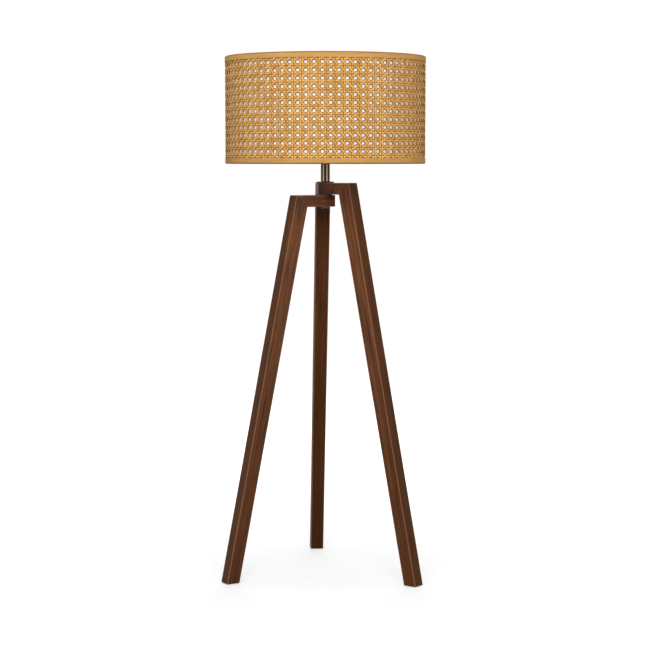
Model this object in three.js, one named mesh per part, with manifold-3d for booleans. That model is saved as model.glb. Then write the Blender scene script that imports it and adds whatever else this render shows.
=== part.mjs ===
// Rattan floor lamp: a stained-wood tripod on a central hollow bolt, a short
// bronze stem with a screw lampholder and bulb, and a drum shade of cane webbing.
// The right and rear arms are half-lapped at one level; the left arm turns below
// them on the bolt. Millimetres, +Z up, floor at z = 0, front of the lamp at -Y.

import * as THREE from 'three';
import { mergeVertices } from 'three/addons/utils/BufferGeometryUtils.js';
import Module from 'manifold-3d';

const wasm = await Module();
wasm.setup();

// Sizes shared by several pieces
const gap = 0.3;          // left between pieces that rest on or sit in each other
const overrun = 6;        // how far a cutting body passes what it cuts
const roundSides = 24;    // sides of a turned metal or plastic piece
const boreSides = 24;     // sides of a drilled hole, rod or dowel
const threadRootShare = 0.25;   // where a thread's root lies in its pitch
const threadCrestShare = 0.75;  // where its crest lies
const drumSides = 60;     // sides of the shade's rings and walls

// Tripod
const hubTop = 987.5;             // top of the right and rear arms
const footCircleRadius = 272;     // middle of a post's section, at the floor
const topCircleRadius = 66.8;     // the same, at the height of hubTop
const rightAzimuth = 323;
const rearAzimuth = 95;
const leftAzimuth = 210;
const timber = { width: 36, footWidth: 33.7, armDepth: 29, easing: 1.8, easingSteps: 3 };
const armTail = 18;               // how far the left arm runs past the bolt
const lapUpperShare = 0.5;        // part of the depth that the right arm keeps at the lap
const dowel = { radius: 4, length: 30, spread: 18, towardsPost: 3 };
const footPad = { radius: 11, thickness: 2.6, recess: 1.2 };

// Central bolt and stem
const rod = { radius: 5, wall: 1.4 };
const swivelWasher = { radius: 17, thickness: 1 };
const nutPocket = { radius: 11.5, depth: 8 };
const nutWasher = { radius: 10.5, thickness: 1.5 };
const nut = { acrossFlats: 17, height: 5 };
const outlet = { radius: 10.5, height: 5, floor: 1, hole: 3.4, easing: 0.8 };
const flange = { radius: 22, thickness: 2.5, easing: 0.8, bossHeight: 3 };
const stem = { radius: 11.5, wall: 1.2, length: 42 };
const collar = { thickness: 4, spigot: 4, easing: 0.8 };
const rodIntoCap = 7;             // the rod's stretch inside the lampholder's cap

// Lampholder
const cap = { neckRadius: 12, height: 16, wall: 2.2, bossRadius: 8, bossHeight: 5 };
const barrel = {
  radius: 20, threadRadius: 19.5, threadDepth: 0.8, wall: 3,
  skirt: 16, upper: 20, shoulderRadius: 23, shoulderThickness: 2, threadTurns: 5,
};
const insert = { height: 8, postRadius: 9, postHeight: 2.5, floorAbove: 1 };
const shell = { innerRadius: 13.7, wall: 0.9, threadDepth: 0.6, height: 20, turns: 5 };
const contact = { width: 6, length: 14, thickness: 0.8, rise: 2.2, bendShare: 0.25 };
const shadeRing = {
  radius: 28.5, flangeThickness: 2, gripRadius: 25.5, height: 8, grips: 20, gripDepth: 0.9,
};

// Shade
const shadeRadius = 250;
const shadeHeight = 265;
const trim = { height: 14, thickness: 1.2, lip: 1.5 };
const webbingThickness = 3.2;
const linerThickness = 1;
const wireRadius = 1.8;
const wireSides = 6;
const carrier = {
  drop: 35, washerRadius: 27, washerThickness: 1.6, spokes: 3, firstSpoke: 30, level: 45, spokeSteps: 12,
};

// Bulb
const bulb = {
  height: 110, tubeRadius: 15, glass: 1, neckRadius: 11.6, neckLength: 10, tipRadius: 4.6, tipHeight: 1.6,
  insulatorRadius: 11.6, insulatorHeight: 3.4, capRadius: 13.1, capDepth: 0.6, capWall: 0.8, capHeight: 20,
  capTurns: 5, stemRadius: 3, stemHeight: 60, filamentRadius: 7, filaments: 4, filamentThickness: 1.4,
  shoulderHeight: 10, curveSteps: 4,
};

// Colours and finishes
const finishes = {
  wood: { color: 0x4f2f1e, roughness: 0.5, metalness: 0 },
  dowelWood: { color: 0xb48a5a, roughness: 0.7, metalness: 0 },
  cane: { color: 0xd0a060, roughness: 0.65, metalness: 0 },
  trim: { color: 0xcf9c5c, roughness: 0.7, metalness: 0 },
  liner: { color: 0xf4f1ea, roughness: 0.8, metalness: 0 },
  bronze: { color: 0x4a3626, roughness: 0.3, metalness: 1 },
  blackMetal: { color: 0x1a1816, roughness: 0.45, metalness: 0.6 },
  zinc: { color: 0xa7a9ab, roughness: 0.35, metalness: 1 },
  whiteWire: { color: 0xe9e7e2, roughness: 0.5, metalness: 0.1 },
  blackPlastic: { color: 0x141414, roughness: 0.5, metalness: 0 },
  ceramic: { color: 0xe8e4da, roughness: 0.4, metalness: 0 },
  brass: { color: 0xb8934a, roughness: 0.35, metalness: 1 },
  rubber: { color: 0x2a2622, roughness: 0.9, metalness: 0 },
  glass: { color: 0xf6f2e6, roughness: 0.15, metalness: 0 },
  filament: { color: 0xe0b040, roughness: 0.5, metalness: 0 },
};

// Levels, from the floor up
const leanSlope = (footCircleRadius - topCircleRadius) / hubTop;
const lean = Math.atan(leanSlope);
const upperArmBottom = hubTop - timber.armDepth;
const swivelWasherBottom = upperArmBottom - gap - swivelWasher.thickness;
const leftArmTop = swivelWasherBottom - gap;
const leftArmBottom = leftArmTop - timber.armDepth;
const nutWasherBottom = leftArmBottom + nutPocket.depth - gap - nutWasher.thickness;
const nutBottom = nutWasherBottom - gap - nut.height;
const outletBottom = nutBottom - gap - outlet.height;
const rodBottom = outletBottom + outlet.floor + gap;
const flangeBottom = hubTop + gap;
const stemBottom = flangeBottom + flange.thickness + gap;
const stemTop = stemBottom + stem.length;
const collarTop = stemTop + gap + collar.thickness;
const capBottom = collarTop + gap;
const rodTop = capBottom + rodIntoCap;
const capTop = capBottom + cap.height;
const barrelBottom = capTop + gap;
const shoulderTop = barrelBottom + barrel.skirt;
const barrelTop = shoulderTop + barrel.upper;
const insertBottom = barrelBottom + insert.floorAbove;
const insertTop = insertBottom + insert.height;
const shellBottom = insertTop + gap;
const contactBottom = insertTop + insert.postHeight + gap;
const bulbBottom = contactBottom + contact.thickness + contact.rise + gap;
const carrierBottom = shoulderTop + gap;
const shadeRingBottom = carrierBottom + carrier.washerThickness + gap;
const shadeBottom = carrierBottom - carrier.drop;
const shadeTop = shadeBottom + shadeHeight;
const wallBottom = shadeBottom + trim.thickness + gap;
const wallTop = shadeTop - trim.thickness - gap;

// Radii of the shade's layers, from the outside in
const webbingRadius = shadeRadius - trim.thickness - gap;
const linerRadius = webbingRadius - webbingThickness - gap;
const wireRingRadius = linerRadius - linerThickness - gap - wireRadius;
const wallInnerRadius = wireRingRadius - wireRadius;

const boreRadius = rod.radius + gap;
const ringBarrelRadius = barrel.threadRadius + 2 * gap;

// Geometry helpers

/** The turn that takes +Z onto a direction. */
function turnFromZ(direction) {
  return new THREE.Quaternion().setFromUnitVectors(new THREE.Vector3(0, 0, 1), direction.clone().normalize());
}

/** Joins equal corners and drops the slivers that a pole leaves behind. */
function weld(geometry) {
  const bare = geometry.clone();
  for (const name of Object.keys(bare.attributes)) {
    if (name !== 'position') bare.deleteAttribute(name);
  }
  const merged = mergeVertices(bare);
  const index = merged.getIndex().array;
  const kept = [];
  for (let i = 0; i < index.length; i += 3) {
    const [a, b, c] = [index[i], index[i + 1], index[i + 2]];
    if (a !== b && b !== c && c !== a) kept.push(a, b, c);
  }
  merged.setIndex(kept);
  return merged;
}

/** Turns a closed geometry into a solid that can be cut and joined. */
function solidOf(geometry) {
  const closed = weld(geometry);
  const mesh = new wasm.Mesh({
    numProp: 3,
    vertProperties: new Float32Array(closed.getAttribute('position').array),
    triVerts: new Uint32Array(closed.getIndex().array),
  });
  return new wasm.Manifold(mesh);
}

/** Turns a solid back into a geometry. */
function geometryOf(solid) {
  const mesh = solid.getMesh();
  const geometry = new THREE.BufferGeometry();
  geometry.setAttribute('position', new THREE.BufferAttribute(new Float32Array(mesh.vertProperties), 3));
  geometry.setIndex(Array.from(mesh.triVerts));
  geometry.computeVertexNormals();
  return geometry;
}

/** Cuts tool solids out of a body and closes the result again. */
function cut(body, ...tools) {
  return tools.reduce((rest, tool) => rest.subtract(tool), body);
}

/** Twice the area inside a profile, positive when it runs anticlockwise. */
function windingOf(profile) {
  return profile.reduce((sum, [r, z], i) => {
    const [nextR, nextZ] = profile[(i + 1) % profile.length];
    return sum + r * nextZ - nextR * z;
  }, 0);
}

/** Revolves a closed profile of [radius, height] points about the Z axis. */
function revolve(profile, sides = roundSides) {
  const ordered = windingOf(profile) > 0 ? profile : [...profile].reverse();
  const points = [...ordered, ordered[0]].map(([r, z]) => new THREE.Vector2(r, z));
  return weld(new THREE.LatheGeometry(points, sides).rotateX(Math.PI / 2));
}

/** A plain ring or tube between two radii and two heights. */
function ring(inner, outer, bottom, top, sides = roundSides) {
  return revolve([[inner, bottom], [outer, bottom], [outer, top], [inner, top]], sides);
}

/** A solid round bar standing on the Z axis. */
function disc(radius, bottom, top, sides = boreSides) {
  const shape = new THREE.CylinderGeometry(radius, radius, top - bottom, sides);
  return shape.rotateX(Math.PI / 2).translate(0, 0, (top + bottom) / 2);
}

/** Roots and crests of a thread, drawn as [radius, height] points. */
function threadPoints(crest, depth, bottom, top, turns) {
  const step = (top - bottom) / turns;
  const points = [];
  for (let turn = 0; turn < turns; turn += 1) {
    const start = bottom + turn * step;
    points.push([crest - depth, start + step * threadRootShare], [crest, start + step * threadCrestShare]);
  }
  return points;
}

/** The outline of a timber's section, with its four edges eased. */
function timberSection(width, depth) {
  const [x, y, r] = [width / 2, depth / 2, timber.easing];
  const shape = new THREE.Shape();
  shape.moveTo(x - r, -y);
  shape.absarc(x - r, -y + r, r, -Math.PI / 2, 0, false);
  shape.absarc(x - r, y - r, r, 0, Math.PI / 2, false);
  shape.absarc(-x + r, y - r, r, Math.PI / 2, Math.PI, false);
  shape.absarc(-x + r, -y + r, r, Math.PI, Math.PI * 1.5, false);
  return shape;
}

/** A timber along Z from one end to the other, tapering about its middle line. */
function timberBar(depth, from, to, widthAt) {
  const bar = new THREE.ExtrudeGeometry(timberSection(timber.width, depth), {
    depth: to - from, steps: 1, bevelEnabled: false, curveSegments: timber.easingSteps,
  }).translate(0, 0, from);
  const position = bar.getAttribute('position');
  for (let i = 0; i < position.count; i += 1) {
    const scale = widthAt(position.getZ(i)) / timber.width;
    position.setXY(i, position.getX(i) * scale, position.getY(i) * scale);
  }
  return bar;
}

/** Everything on the side of a plane that its normal points to. */
function halfSpace(point, normal) {
  const size = 4 * (hubTop + footCircleRadius);
  const block = new THREE.BoxGeometry(size, size, size).translate(0, 0, size / 2);
  return solidOf(block.applyQuaternion(turnFromZ(normal)).translate(point.x, point.y, point.z));
}

// Legs, in a frame whose +X runs outwards along the leg

/** Radius at which a post's middle line passes a height. */
const postRadiusAt = (height) => footCircleRadius - height * leanSlope;

/** The slanted plane where an arm and its post meet, as its middle and the arm's side. */
function mitreOf(armTop) {
  const halfSpan = timber.width / 2 / Math.cos(lean);
  const outer = new THREE.Vector3(postRadiusAt(armTop) + halfSpan, 0, armTop);
  const armBottom = armTop - timber.armDepth;
  const inner = new THREE.Vector3(postRadiusAt(armBottom) - halfSpan, 0, armBottom);
  const along = outer.clone().sub(inner).normalize();
  const normal = new THREE.Vector3(-along.z, 0, along.x);
  return { middle: outer.add(inner).multiplyScalar(0.5), normal };
}

/** The two dowels across a mitre, grown by some clearance for their bores. */
function dowelGeometries(armTop, grow = 0) {
  const { middle, normal } = mitreOf(armTop);
  const half = dowel.length / 2 + grow;
  const turn = turnFromZ(normal);
  return [-1, 1].map((side) => disc(dowel.radius + grow, -half, half, boreSides / 2)
    .translate(0, 0, -dowel.towardsPost)
    .applyQuaternion(turn)
    .translate(middle.x, side * dowel.spread / 2, middle.z));
}

/** A mitre half-space pulled back from the joint by half the gap. */
function mitreSide(armTop, side) {
  const { middle, normal } = mitreOf(armTop);
  const towards = normal.multiplyScalar(side);
  return halfSpace(middle.addScaledVector(towards, gap / 2), towards);
}

/** A leaning post, mitred at its top and cut level above its foot pad. */
function postGeometry(armTop) {
  const length = armTop / Math.cos(lean);
  const widthAt = (s) => timber.width + (timber.footWidth - timber.width) * s / length;
  const bar = timberBar(timber.width, -timber.width, length + timber.width, widthAt);
  bar.rotateY(Math.PI - lean).translate(postRadiusAt(armTop), 0, armTop);
  const footLevel = footPad.thickness + gap - footPad.recess;
  const aboveFoot = halfSpace(new THREE.Vector3(0, 0, footLevel), new THREE.Vector3(0, 0, 1));
  const pocket = disc(footPad.radius + gap, -overrun, footPad.thickness + gap);
  pocket.translate(footCircleRadius, 0, 0);
  const bores = dowelGeometries(armTop, gap).map(solidOf);
  const blank = solidOf(bar).intersect(mitreSide(armTop, -1)).intersect(aboveFoot);
  return geometryOf(cut(blank, solidOf(pocket), ...bores));
}

/** An arm's blank: level, mitred outside, and running past the bolt by a tail. */
function armBlank(armTop, tail) {
  const reach = postRadiusAt(0);
  const bar = timberBar(timber.armDepth, -tail, reach, () => timber.width);
  bar.rotateZ(Math.PI / 2).rotateY(Math.PI / 2);
  bar.translate(0, 0, armTop - timber.armDepth / 2);
  const rodBore = disc(boreRadius, armTop - timber.armDepth - overrun, armTop + overrun);
  const bores = dowelGeometries(armTop, gap).map(solidOf);
  return cut(solidOf(bar).intersect(mitreSide(armTop, 1)), solidOf(rodBore), ...bores);
}

/** The left arm, with a square tail and a pocket below for the nut. */
function leftArmGeometry() {
  const pocketTop = leftArmBottom + nutPocket.depth;
  const pocket = disc(nutPocket.radius, leftArmBottom - overrun, pocketTop, roundSides);
  return geometryOf(cut(armBlank(leftArmTop, armTail), solidOf(pocket)));
}

/** One arm of the corner half-lap, whose partner leaves at a turn from it. */
function lappedArmGeometry(partnerTurn, keepsUpper) {
  const turn = THREE.MathUtils.degToRad(partnerTurn);
  const side = Math.sign(Math.sin(turn));
  const outerFace = new THREE.Vector3(-Math.sin(turn), Math.cos(turn), 0).multiplyScalar(side);
  const endCut = halfSpace(outerFace.clone().multiplyScalar(timber.width / 2), outerFace.clone().negate());
  const lapLevel = hubTop - timber.armDepth * lapUpperShare;
  const [from, to] = keepsUpper
    ? [upperArmBottom - overrun, lapLevel + gap / 2]
    : [lapLevel - gap / 2, hubTop + overrun];
  const length = 2 * footCircleRadius;
  const slot = new THREE.BoxGeometry(length, timber.width + 2 * gap, to - from);
  slot.translate(0, 0, (to + from) / 2).rotateZ(turn);
  const blank = armBlank(hubTop, 3 * timber.width).intersect(endCut);
  return geometryOf(cut(blank, solidOf(slot)));
}

// Bolt and stem

/** The hexagonal nut under the left arm. */
function nutGeometry() {
  const hexagon = disc(nut.acrossFlats / 2 / Math.cos(Math.PI / 6), nutBottom, nutBottom + nut.height, 6);
  const bore = disc(boreRadius, nutBottom - overrun, nutBottom + nut.height + overrun);
  return geometryOf(cut(solidOf(hexagon), solidOf(bore)));
}

/** The plastic outlet that closes the bolt's lower end round the cord hole. */
function outletGeometry() {
  const top = outletBottom + outlet.height;
  return revolve([
    [outlet.hole, outletBottom], [outlet.radius - outlet.easing, outletBottom],
    [outlet.radius, outletBottom + outlet.easing], [outlet.radius, top],
    [boreRadius, top], [boreRadius, outletBottom + outlet.floor], [outlet.hole, outletBottom + outlet.floor],
  ]);
}

/** The black flange on the hub, with a boss that centres the stem. */
function flangeGeometry() {
  const top = flangeBottom + flange.thickness;
  const bossRadius = stem.radius - stem.wall - gap;
  return revolve([
    [boreRadius, flangeBottom], [flange.radius - flange.easing, flangeBottom],
    [flange.radius, flangeBottom + flange.easing], [flange.radius, top - flange.easing],
    [flange.radius - flange.easing, top], [bossRadius, top],
    [bossRadius, top + flange.bossHeight], [boreRadius, top + flange.bossHeight],
  ]);
}

/** The collar that closes the stem's top, with a spigot inside the tube. */
function collarGeometry() {
  const bottom = stemTop + gap;
  const spigotRadius = stem.radius - stem.wall - gap;
  return revolve([
    [boreRadius, bottom - collar.spigot], [spigotRadius, bottom - collar.spigot], [spigotRadius, bottom],
    [stem.radius, bottom], [stem.radius, collarTop - collar.easing],
    [stem.radius - collar.easing, collarTop], [boreRadius, collarTop],
  ]);
}

// Lampholder

/** The bell-shaped cap that screws onto the rod and carries the barrel. */
function capGeometry() {
  const floorTop = capBottom + cap.wall;
  const flare = capBottom + cap.height / 2;
  const innerRadius = barrel.radius - cap.wall;
  const flareRadius = (cap.neckRadius + barrel.radius) / 2;
  return revolve([
    [boreRadius, capBottom], [cap.neckRadius, capBottom], [flareRadius, capBottom + cap.wall],
    [barrel.radius, flare], [barrel.radius, capTop], [innerRadius, capTop], [innerRadius, flare],
    [cap.bossRadius + cap.wall, floorTop], [cap.bossRadius, floorTop],
    [cap.bossRadius, floorTop + cap.bossHeight], [boreRadius, floorTop + cap.bossHeight],
  ]);
}

/** The barrel: skirt, shoulder for the shade, and the outside thread above it. */
function barrelGeometry() {
  const inner = barrel.threadRadius - barrel.wall;
  const shoulderBottom = shoulderTop - barrel.shoulderThickness;
  const root = barrel.threadRadius - barrel.threadDepth;
  return revolve([
    [inner, barrelBottom], [barrel.radius, barrelBottom], [barrel.radius, shoulderBottom],
    [barrel.shoulderRadius, shoulderBottom], [barrel.shoulderRadius, shoulderTop], [root, shoulderTop],
    ...threadPoints(barrel.threadRadius, barrel.threadDepth, shoulderTop, barrelTop, barrel.threadTurns),
    [root, barrelTop], [inner, barrelTop],
  ], boreSides);
}

/** The ceramic insert at the barrel's floor, with a raised middle for the contact. */
function insertGeometry() {
  const radius = barrel.threadRadius - barrel.wall - gap;
  const postTop = insertTop + insert.postHeight;
  return revolve([
    [0, insertBottom], [radius, insertBottom], [radius, insertTop],
    [insert.postRadius, insertTop], [insert.postRadius, postTop], [0, postTop],
  ]);
}

/** The threaded brass shell that takes the bulb's cap. */
function shellGeometry() {
  const top = shellBottom + shell.height;
  const rootRadius = shell.innerRadius + shell.threadDepth;
  const outer = rootRadius + shell.wall;
  const inside = threadPoints(rootRadius, shell.threadDepth, shellBottom, top, shell.turns);
  return revolve([
    [shell.innerRadius, shellBottom], [outer, shellBottom], [outer, top], [shell.innerRadius, top],
    ...inside.reverse(),
  ], boreSides);
}

/** The sprung tongue that meets the bulb's tip. */
function contactGeometry() {
  const { length, thickness, rise, bendShare } = contact;
  const bend = length * bendShare;
  const shape = new THREE.Shape();
  shape.moveTo(-length / 2, 0);
  shape.lineTo(bend, 0);
  shape.lineTo(length / 2, rise / 2);
  shape.lineTo(bend, rise + thickness);
  shape.lineTo(-bend, rise + thickness);
  shape.lineTo(-bend, rise);
  shape.lineTo(bend - thickness, rise);
  shape.lineTo(length / 2 - 2 * thickness, rise / 2);
  shape.lineTo(bend - thickness, thickness);
  shape.lineTo(-length / 2, thickness);
  shape.closePath();
  const tongue = new THREE.ExtrudeGeometry(shape, { depth: contact.width, bevelEnabled: false });
  return tongue.translate(0, 0, -contact.width / 2).rotateX(Math.PI / 2).translate(0, 0, contactBottom);
}

/** The ring that clamps the shade's washer, with grips round its upper part. */
function shadeRingGeometry() {
  const flangeTop = shadeRingBottom + shadeRing.flangeThickness;
  const top = shadeRingBottom + shadeRing.height;
  const body = solidOf(revolve([
    [ringBarrelRadius, shadeRingBottom], [shadeRing.radius, shadeRingBottom], [shadeRing.radius, flangeTop],
    [shadeRing.gripRadius, flangeTop], [shadeRing.gripRadius, top], [ringBarrelRadius, top],
  ], shadeRing.grips * 2));
  const notches = [];
  for (let i = 0; i < shadeRing.grips; i += 1) {
    const notch = disc(shadeRing.gripDepth, flangeTop + shadeRing.gripDepth, top + overrun, 4);
    notch.translate(shadeRing.gripRadius, 0, 0).rotateZ(i * 2 * Math.PI / shadeRing.grips);
    notches.push(solidOf(notch));
  }
  return geometryOf(cut(body, ...notches));
}

// Shade

/** The folded edging at the shade's bottom rim, an unequal U in section. */
function trimProfile() {
  const { thickness, height, lip } = trim;
  const inner = wallInnerRadius - gap - thickness;
  const lipTop = thickness + lip;
  return [
    [inner, 0], [shadeRadius, 0], [shadeRadius, height], [shadeRadius - thickness, height],
    [shadeRadius - thickness, thickness], [inner + thickness, thickness], [inner + thickness, lipTop],
    [inner, lipTop],
  ];
}

/** The edging at the bottom, or at the top with its section turned over. */
function trimGeometry(atTop) {
  const profile = trimProfile().map(([r, z]) => [r, atTop ? shadeTop - z : shadeBottom + z]);
  return revolve(profile, drumSides);
}

/** A wire ring that stiffens one rim. */
function wireRingGeometry(level) {
  const profile = [];
  for (let i = 0; i < wireSides; i += 1) {
    const angle = (i + 0.5) * 2 * Math.PI / wireSides;
    profile.push([wireRingRadius + wireRadius * Math.cos(angle), level + wireRadius * Math.sin(angle)]);
  }
  return revolve(profile, drumSides);
}

/** One spoke of the carrier: flush with the washer's top, then sloping down onto the bottom ring. */
function spokeGeometry(azimuth, ringLevel) {
  const start = (ringBarrelRadius + carrier.washerRadius) / 2;
  const startLevel = carrierBottom + carrier.washerThickness - wireRadius;
  const endLevel = ringLevel + 2 * wireRadius + gap;
  const path = new THREE.CurvePath();
  const knee = new THREE.Vector3(carrier.level, 0, startLevel);
  const foot = new THREE.Vector3(wireRingRadius - carrier.level / 2, 0, endLevel);
  path.add(new THREE.LineCurve3(new THREE.Vector3(start, 0, startLevel), knee));
  path.add(new THREE.LineCurve3(knee, foot));
  path.add(new THREE.LineCurve3(foot, new THREE.Vector3(wireRingRadius, 0, endLevel)));
  const section = new THREE.Shape().absarc(0, 0, wireRadius, 0, 2 * Math.PI, false);
  const wire = new THREE.ExtrudeGeometry(section, {
    steps: carrier.spokeSteps, curveSegments: wireSides / 2, extrudePath: path, bevelEnabled: false,
  });
  return wire.rotateZ(THREE.MathUtils.degToRad(azimuth));
}

/** The carrier: a washer on the lampholder's shoulder and its wire spokes. */
function carrierGeometry(ringLevel) {
  const washerTop = carrierBottom + carrier.washerThickness;
  let body = solidOf(ring(ringBarrelRadius, carrier.washerRadius, carrierBottom, washerTop));
  for (let i = 0; i < carrier.spokes; i += 1) {
    const azimuth = carrier.firstSpoke + i * 360 / carrier.spokes;
    body = body.add(solidOf(spokeGeometry(azimuth, ringLevel)));
  }
  const seat = ring(boreRadius, shadeRing.radius + gap, carrierBottom - overrun, carrierBottom);
  const clamp = ring(boreRadius, shadeRing.radius + gap, washerTop, washerTop + overrun);
  return geometryOf(cut(body, solidOf(seat), solidOf(clamp)));
}

// Bulb

/** The glass envelope's outline, drawn inwards by an offset. */
function envelopePath(inset) {
  const radius = bulb.tubeRadius - inset;
  const neck = bulb.neckRadius - inset;
  const crown = bulbBottom + bulb.height - bulb.tubeRadius;
  const neckTop = bulbBottom + bulb.insulatorHeight + bulb.tipHeight + bulb.capHeight + bulb.neckLength / 4;
  const shoulder = neckTop + bulb.shoulderHeight;
  const pull = bulb.shoulderHeight / 2;
  const path = new THREE.Path();
  path.moveTo(neck, neckTop - bulb.neckLength);
  path.lineTo(neck, neckTop);
  path.bezierCurveTo(neck, neckTop + pull, radius, shoulder - pull, radius, shoulder);
  path.lineTo(radius, crown);
  path.absarc(0, crown, radius, 0, Math.PI / 2, false);
  return path.getPoints(bulb.curveSteps).map((point) => [Math.max(point.x, 0), point.y]);
}

/** The glass envelope: one skin with an open neck. */
function envelopeGeometry() {
  const outside = envelopePath(0);
  const inside = envelopePath(bulb.glass).reverse();
  return revolve([...outside, ...inside], boreSides);
}

/** The bulb's screw cap, a thin threaded cup. */
function bulbCapGeometry() {
  const bottom = bulbBottom + bulb.tipHeight + bulb.insulatorHeight;
  const top = bottom + bulb.capHeight;
  const root = bulb.capRadius - bulb.capDepth;
  const inner = root - bulb.capWall + gap / 2;
  return revolve([
    [inner, bottom], [root, bottom],
    ...threadPoints(bulb.capRadius, bulb.capDepth, bottom, top, bulb.capTurns),
    [root, top], [inner, top],
  ], boreSides);
}

/** The black insulator between the screw cap and the tip. */
function insulatorGeometry() {
  const bottom = bulbBottom + bulb.tipHeight;
  const top = bottom + bulb.insulatorHeight - gap;
  return revolve([[0, bottom + gap], [bulb.tipRadius, bottom + gap], [bulb.insulatorRadius, top], [0, top]]);
}

/** The solder tip at the bottom of the bulb. */
function tipGeometry() {
  const top = bulbBottom + bulb.tipHeight;
  return revolve([[0, bulbBottom], [bulb.tipRadius / 2, bulbBottom], [bulb.tipRadius, top], [0, top]]);
}

/** The glass stem that holds the filaments, standing on the insulator. */
function bulbStemGeometry() {
  const bottom = bulbBottom + bulb.tipHeight + bulb.insulatorHeight;
  const flareRadius = bulb.neckRadius - bulb.glass - gap;
  const flareTop = bottom + bulb.capHeight / 2;
  const top = bottom + bulb.capHeight + bulb.stemHeight;
  return revolve([
    [0, bottom], [flareRadius, bottom], [flareRadius, bottom + bulb.glass], [bulb.stemRadius, flareTop],
    [bulb.stemRadius, top - bulb.stemRadius], [bulb.stemRadius / 2, top], [0, top],
  ], boreSides / 2);
}

/** A filament rod beside the stem, resting against it at its foot. */
function filamentGeometry(number) {
  const bottom = bulbBottom + bulb.tipHeight + bulb.insulatorHeight + bulb.capHeight;
  const half = bulb.filamentThickness / 2;
  const foot = new THREE.Vector3(bulb.stemRadius + half + gap, 0, bottom);
  const head = new THREE.Vector3(bulb.filamentRadius, 0, bottom + bulb.stemHeight);
  const length = head.distanceTo(foot);
  const rodShape = new THREE.CylinderGeometry(half, half, length, 6).rotateX(Math.PI / 2);
  const middle = head.clone().add(foot).multiplyScalar(0.5);
  return rodShape.applyQuaternion(turnFromZ(head.clone().sub(foot))).translate(middle.x, 0, middle.z)
    .rotateZ(number * 2 * Math.PI / bulb.filaments);
}

// Assembly

/** A named mesh with its own material. */
function piece(name, geometry, finish) {
  const mesh = new THREE.Mesh(geometry, new THREE.MeshStandardMaterial(finishes[finish]));
  mesh.name = name;
  return mesh;
}

/** One leg's pieces, turned to its azimuth. */
function legGroup(side, azimuth, armTop, arm) {
  const group = new THREE.Group();
  group.add(piece(`${side}_post`, postGeometry(armTop), 'wood'));
  group.add(piece(`${side}_arm`, arm, 'wood'));
  dowelGeometries(armTop).forEach((shape, i) => {
    group.add(piece(`${side}_dowel_${i + 1}`, shape, 'dowelWood'));
  });
  const pad = piece(`${side}_foot_pad`, disc(footPad.radius, 0, footPad.thickness), 'rubber');
  pad.position.x = footCircleRadius;
  group.add(pad);
  group.rotation.z = THREE.MathUtils.degToRad(azimuth);
  return group;
}

/** The three legs. */
function tripodGroup() {
  const group = new THREE.Group();
  const between = rearAzimuth - rightAzimuth;
  group.add(legGroup('right', rightAzimuth, hubTop, lappedArmGeometry(between, true)));
  group.add(legGroup('rear', rearAzimuth, hubTop, lappedArmGeometry(-between, false)));
  group.add(legGroup('left', leftAzimuth, leftArmTop, leftArmGeometry()));
  return group;
}

/** The bolt, its washers and nut, the outlet, the flange and the stem. */
function stemGroup() {
  const group = new THREE.Group();
  const pocketTop = leftArmBottom + nutPocket.depth;
  group.add(
    piece('threaded_rod', ring(rod.radius - rod.wall, rod.radius, rodBottom, rodTop, boreSides), 'zinc'),
    piece('swivel_washer', ring(boreRadius, swivelWasher.radius, swivelWasherBottom,
      swivelWasherBottom + swivelWasher.thickness), 'rubber'),
    piece('nut_washer', ring(boreRadius, nutWasher.radius, nutWasherBottom, pocketTop - gap), 'zinc'),
    piece('clamp_nut', nutGeometry(), 'zinc'),
    piece('cord_outlet', outletGeometry(), 'blackPlastic'),
    piece('stem_flange', flangeGeometry(), 'blackMetal'),
    piece('stem_tube', ring(stem.radius - stem.wall, stem.radius, stemBottom, stemTop), 'bronze'),
    piece('stem_collar', collarGeometry(), 'bronze'),
  );
  return group;
}

/** The lampholder and the ring that clamps the shade on it. */
function lampholderGroup() {
  const group = new THREE.Group();
  group.add(
    piece('lampholder_cap', capGeometry(), 'blackPlastic'),
    piece('lampholder_barrel', barrelGeometry(), 'blackPlastic'),
    piece('lampholder_insert', insertGeometry(), 'ceramic'),
    piece('lampholder_shell', shellGeometry(), 'brass'),
    piece('centre_contact', contactGeometry(), 'brass'),
    piece('shade_ring', shadeRingGeometry(), 'blackPlastic'),
  );
  return group;
}

/** The shade: carrier, wire rings, liner, webbing and edgings. */
function shadeGroup() {
  const group = new THREE.Group();
  const lowRing = wallBottom + wireRadius;
  const highRing = wallTop - wireRadius;
  const webbing = ring(webbingRadius - webbingThickness, webbingRadius, wallBottom, wallTop, drumSides);
  const liner = ring(linerRadius - linerThickness, linerRadius, wallBottom, wallTop, drumSides);
  group.add(
    piece('shade_carrier', carrierGeometry(lowRing), 'whiteWire'),
    piece('bottom_wire_ring', wireRingGeometry(lowRing), 'whiteWire'),
    piece('top_wire_ring', wireRingGeometry(highRing), 'whiteWire'),
    piece('shade_liner', liner, 'liner'),
    piece('cane_webbing', webbing, 'cane'),
    piece('bottom_trim', trimGeometry(false), 'trim'),
    piece('top_trim', trimGeometry(true), 'trim'),
  );
  return group;
}

/** The bulb's pieces. */
function bulbGroup() {
  const group = new THREE.Group();
  group.add(
    piece('bulb_envelope', envelopeGeometry(), 'glass'),
    piece('bulb_cap', bulbCapGeometry(), 'zinc'),
    piece('bulb_insulator', insulatorGeometry(), 'blackPlastic'),
    piece('bulb_tip', tipGeometry(), 'zinc'),
    piece('bulb_stem', bulbStemGeometry(), 'glass'),
  );
  for (let i = 0; i < bulb.filaments; i += 1) {
    group.add(piece(`bulb_filament_${i + 1}`, filamentGeometry(i), 'filament'));
  }
  return group;
}

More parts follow.
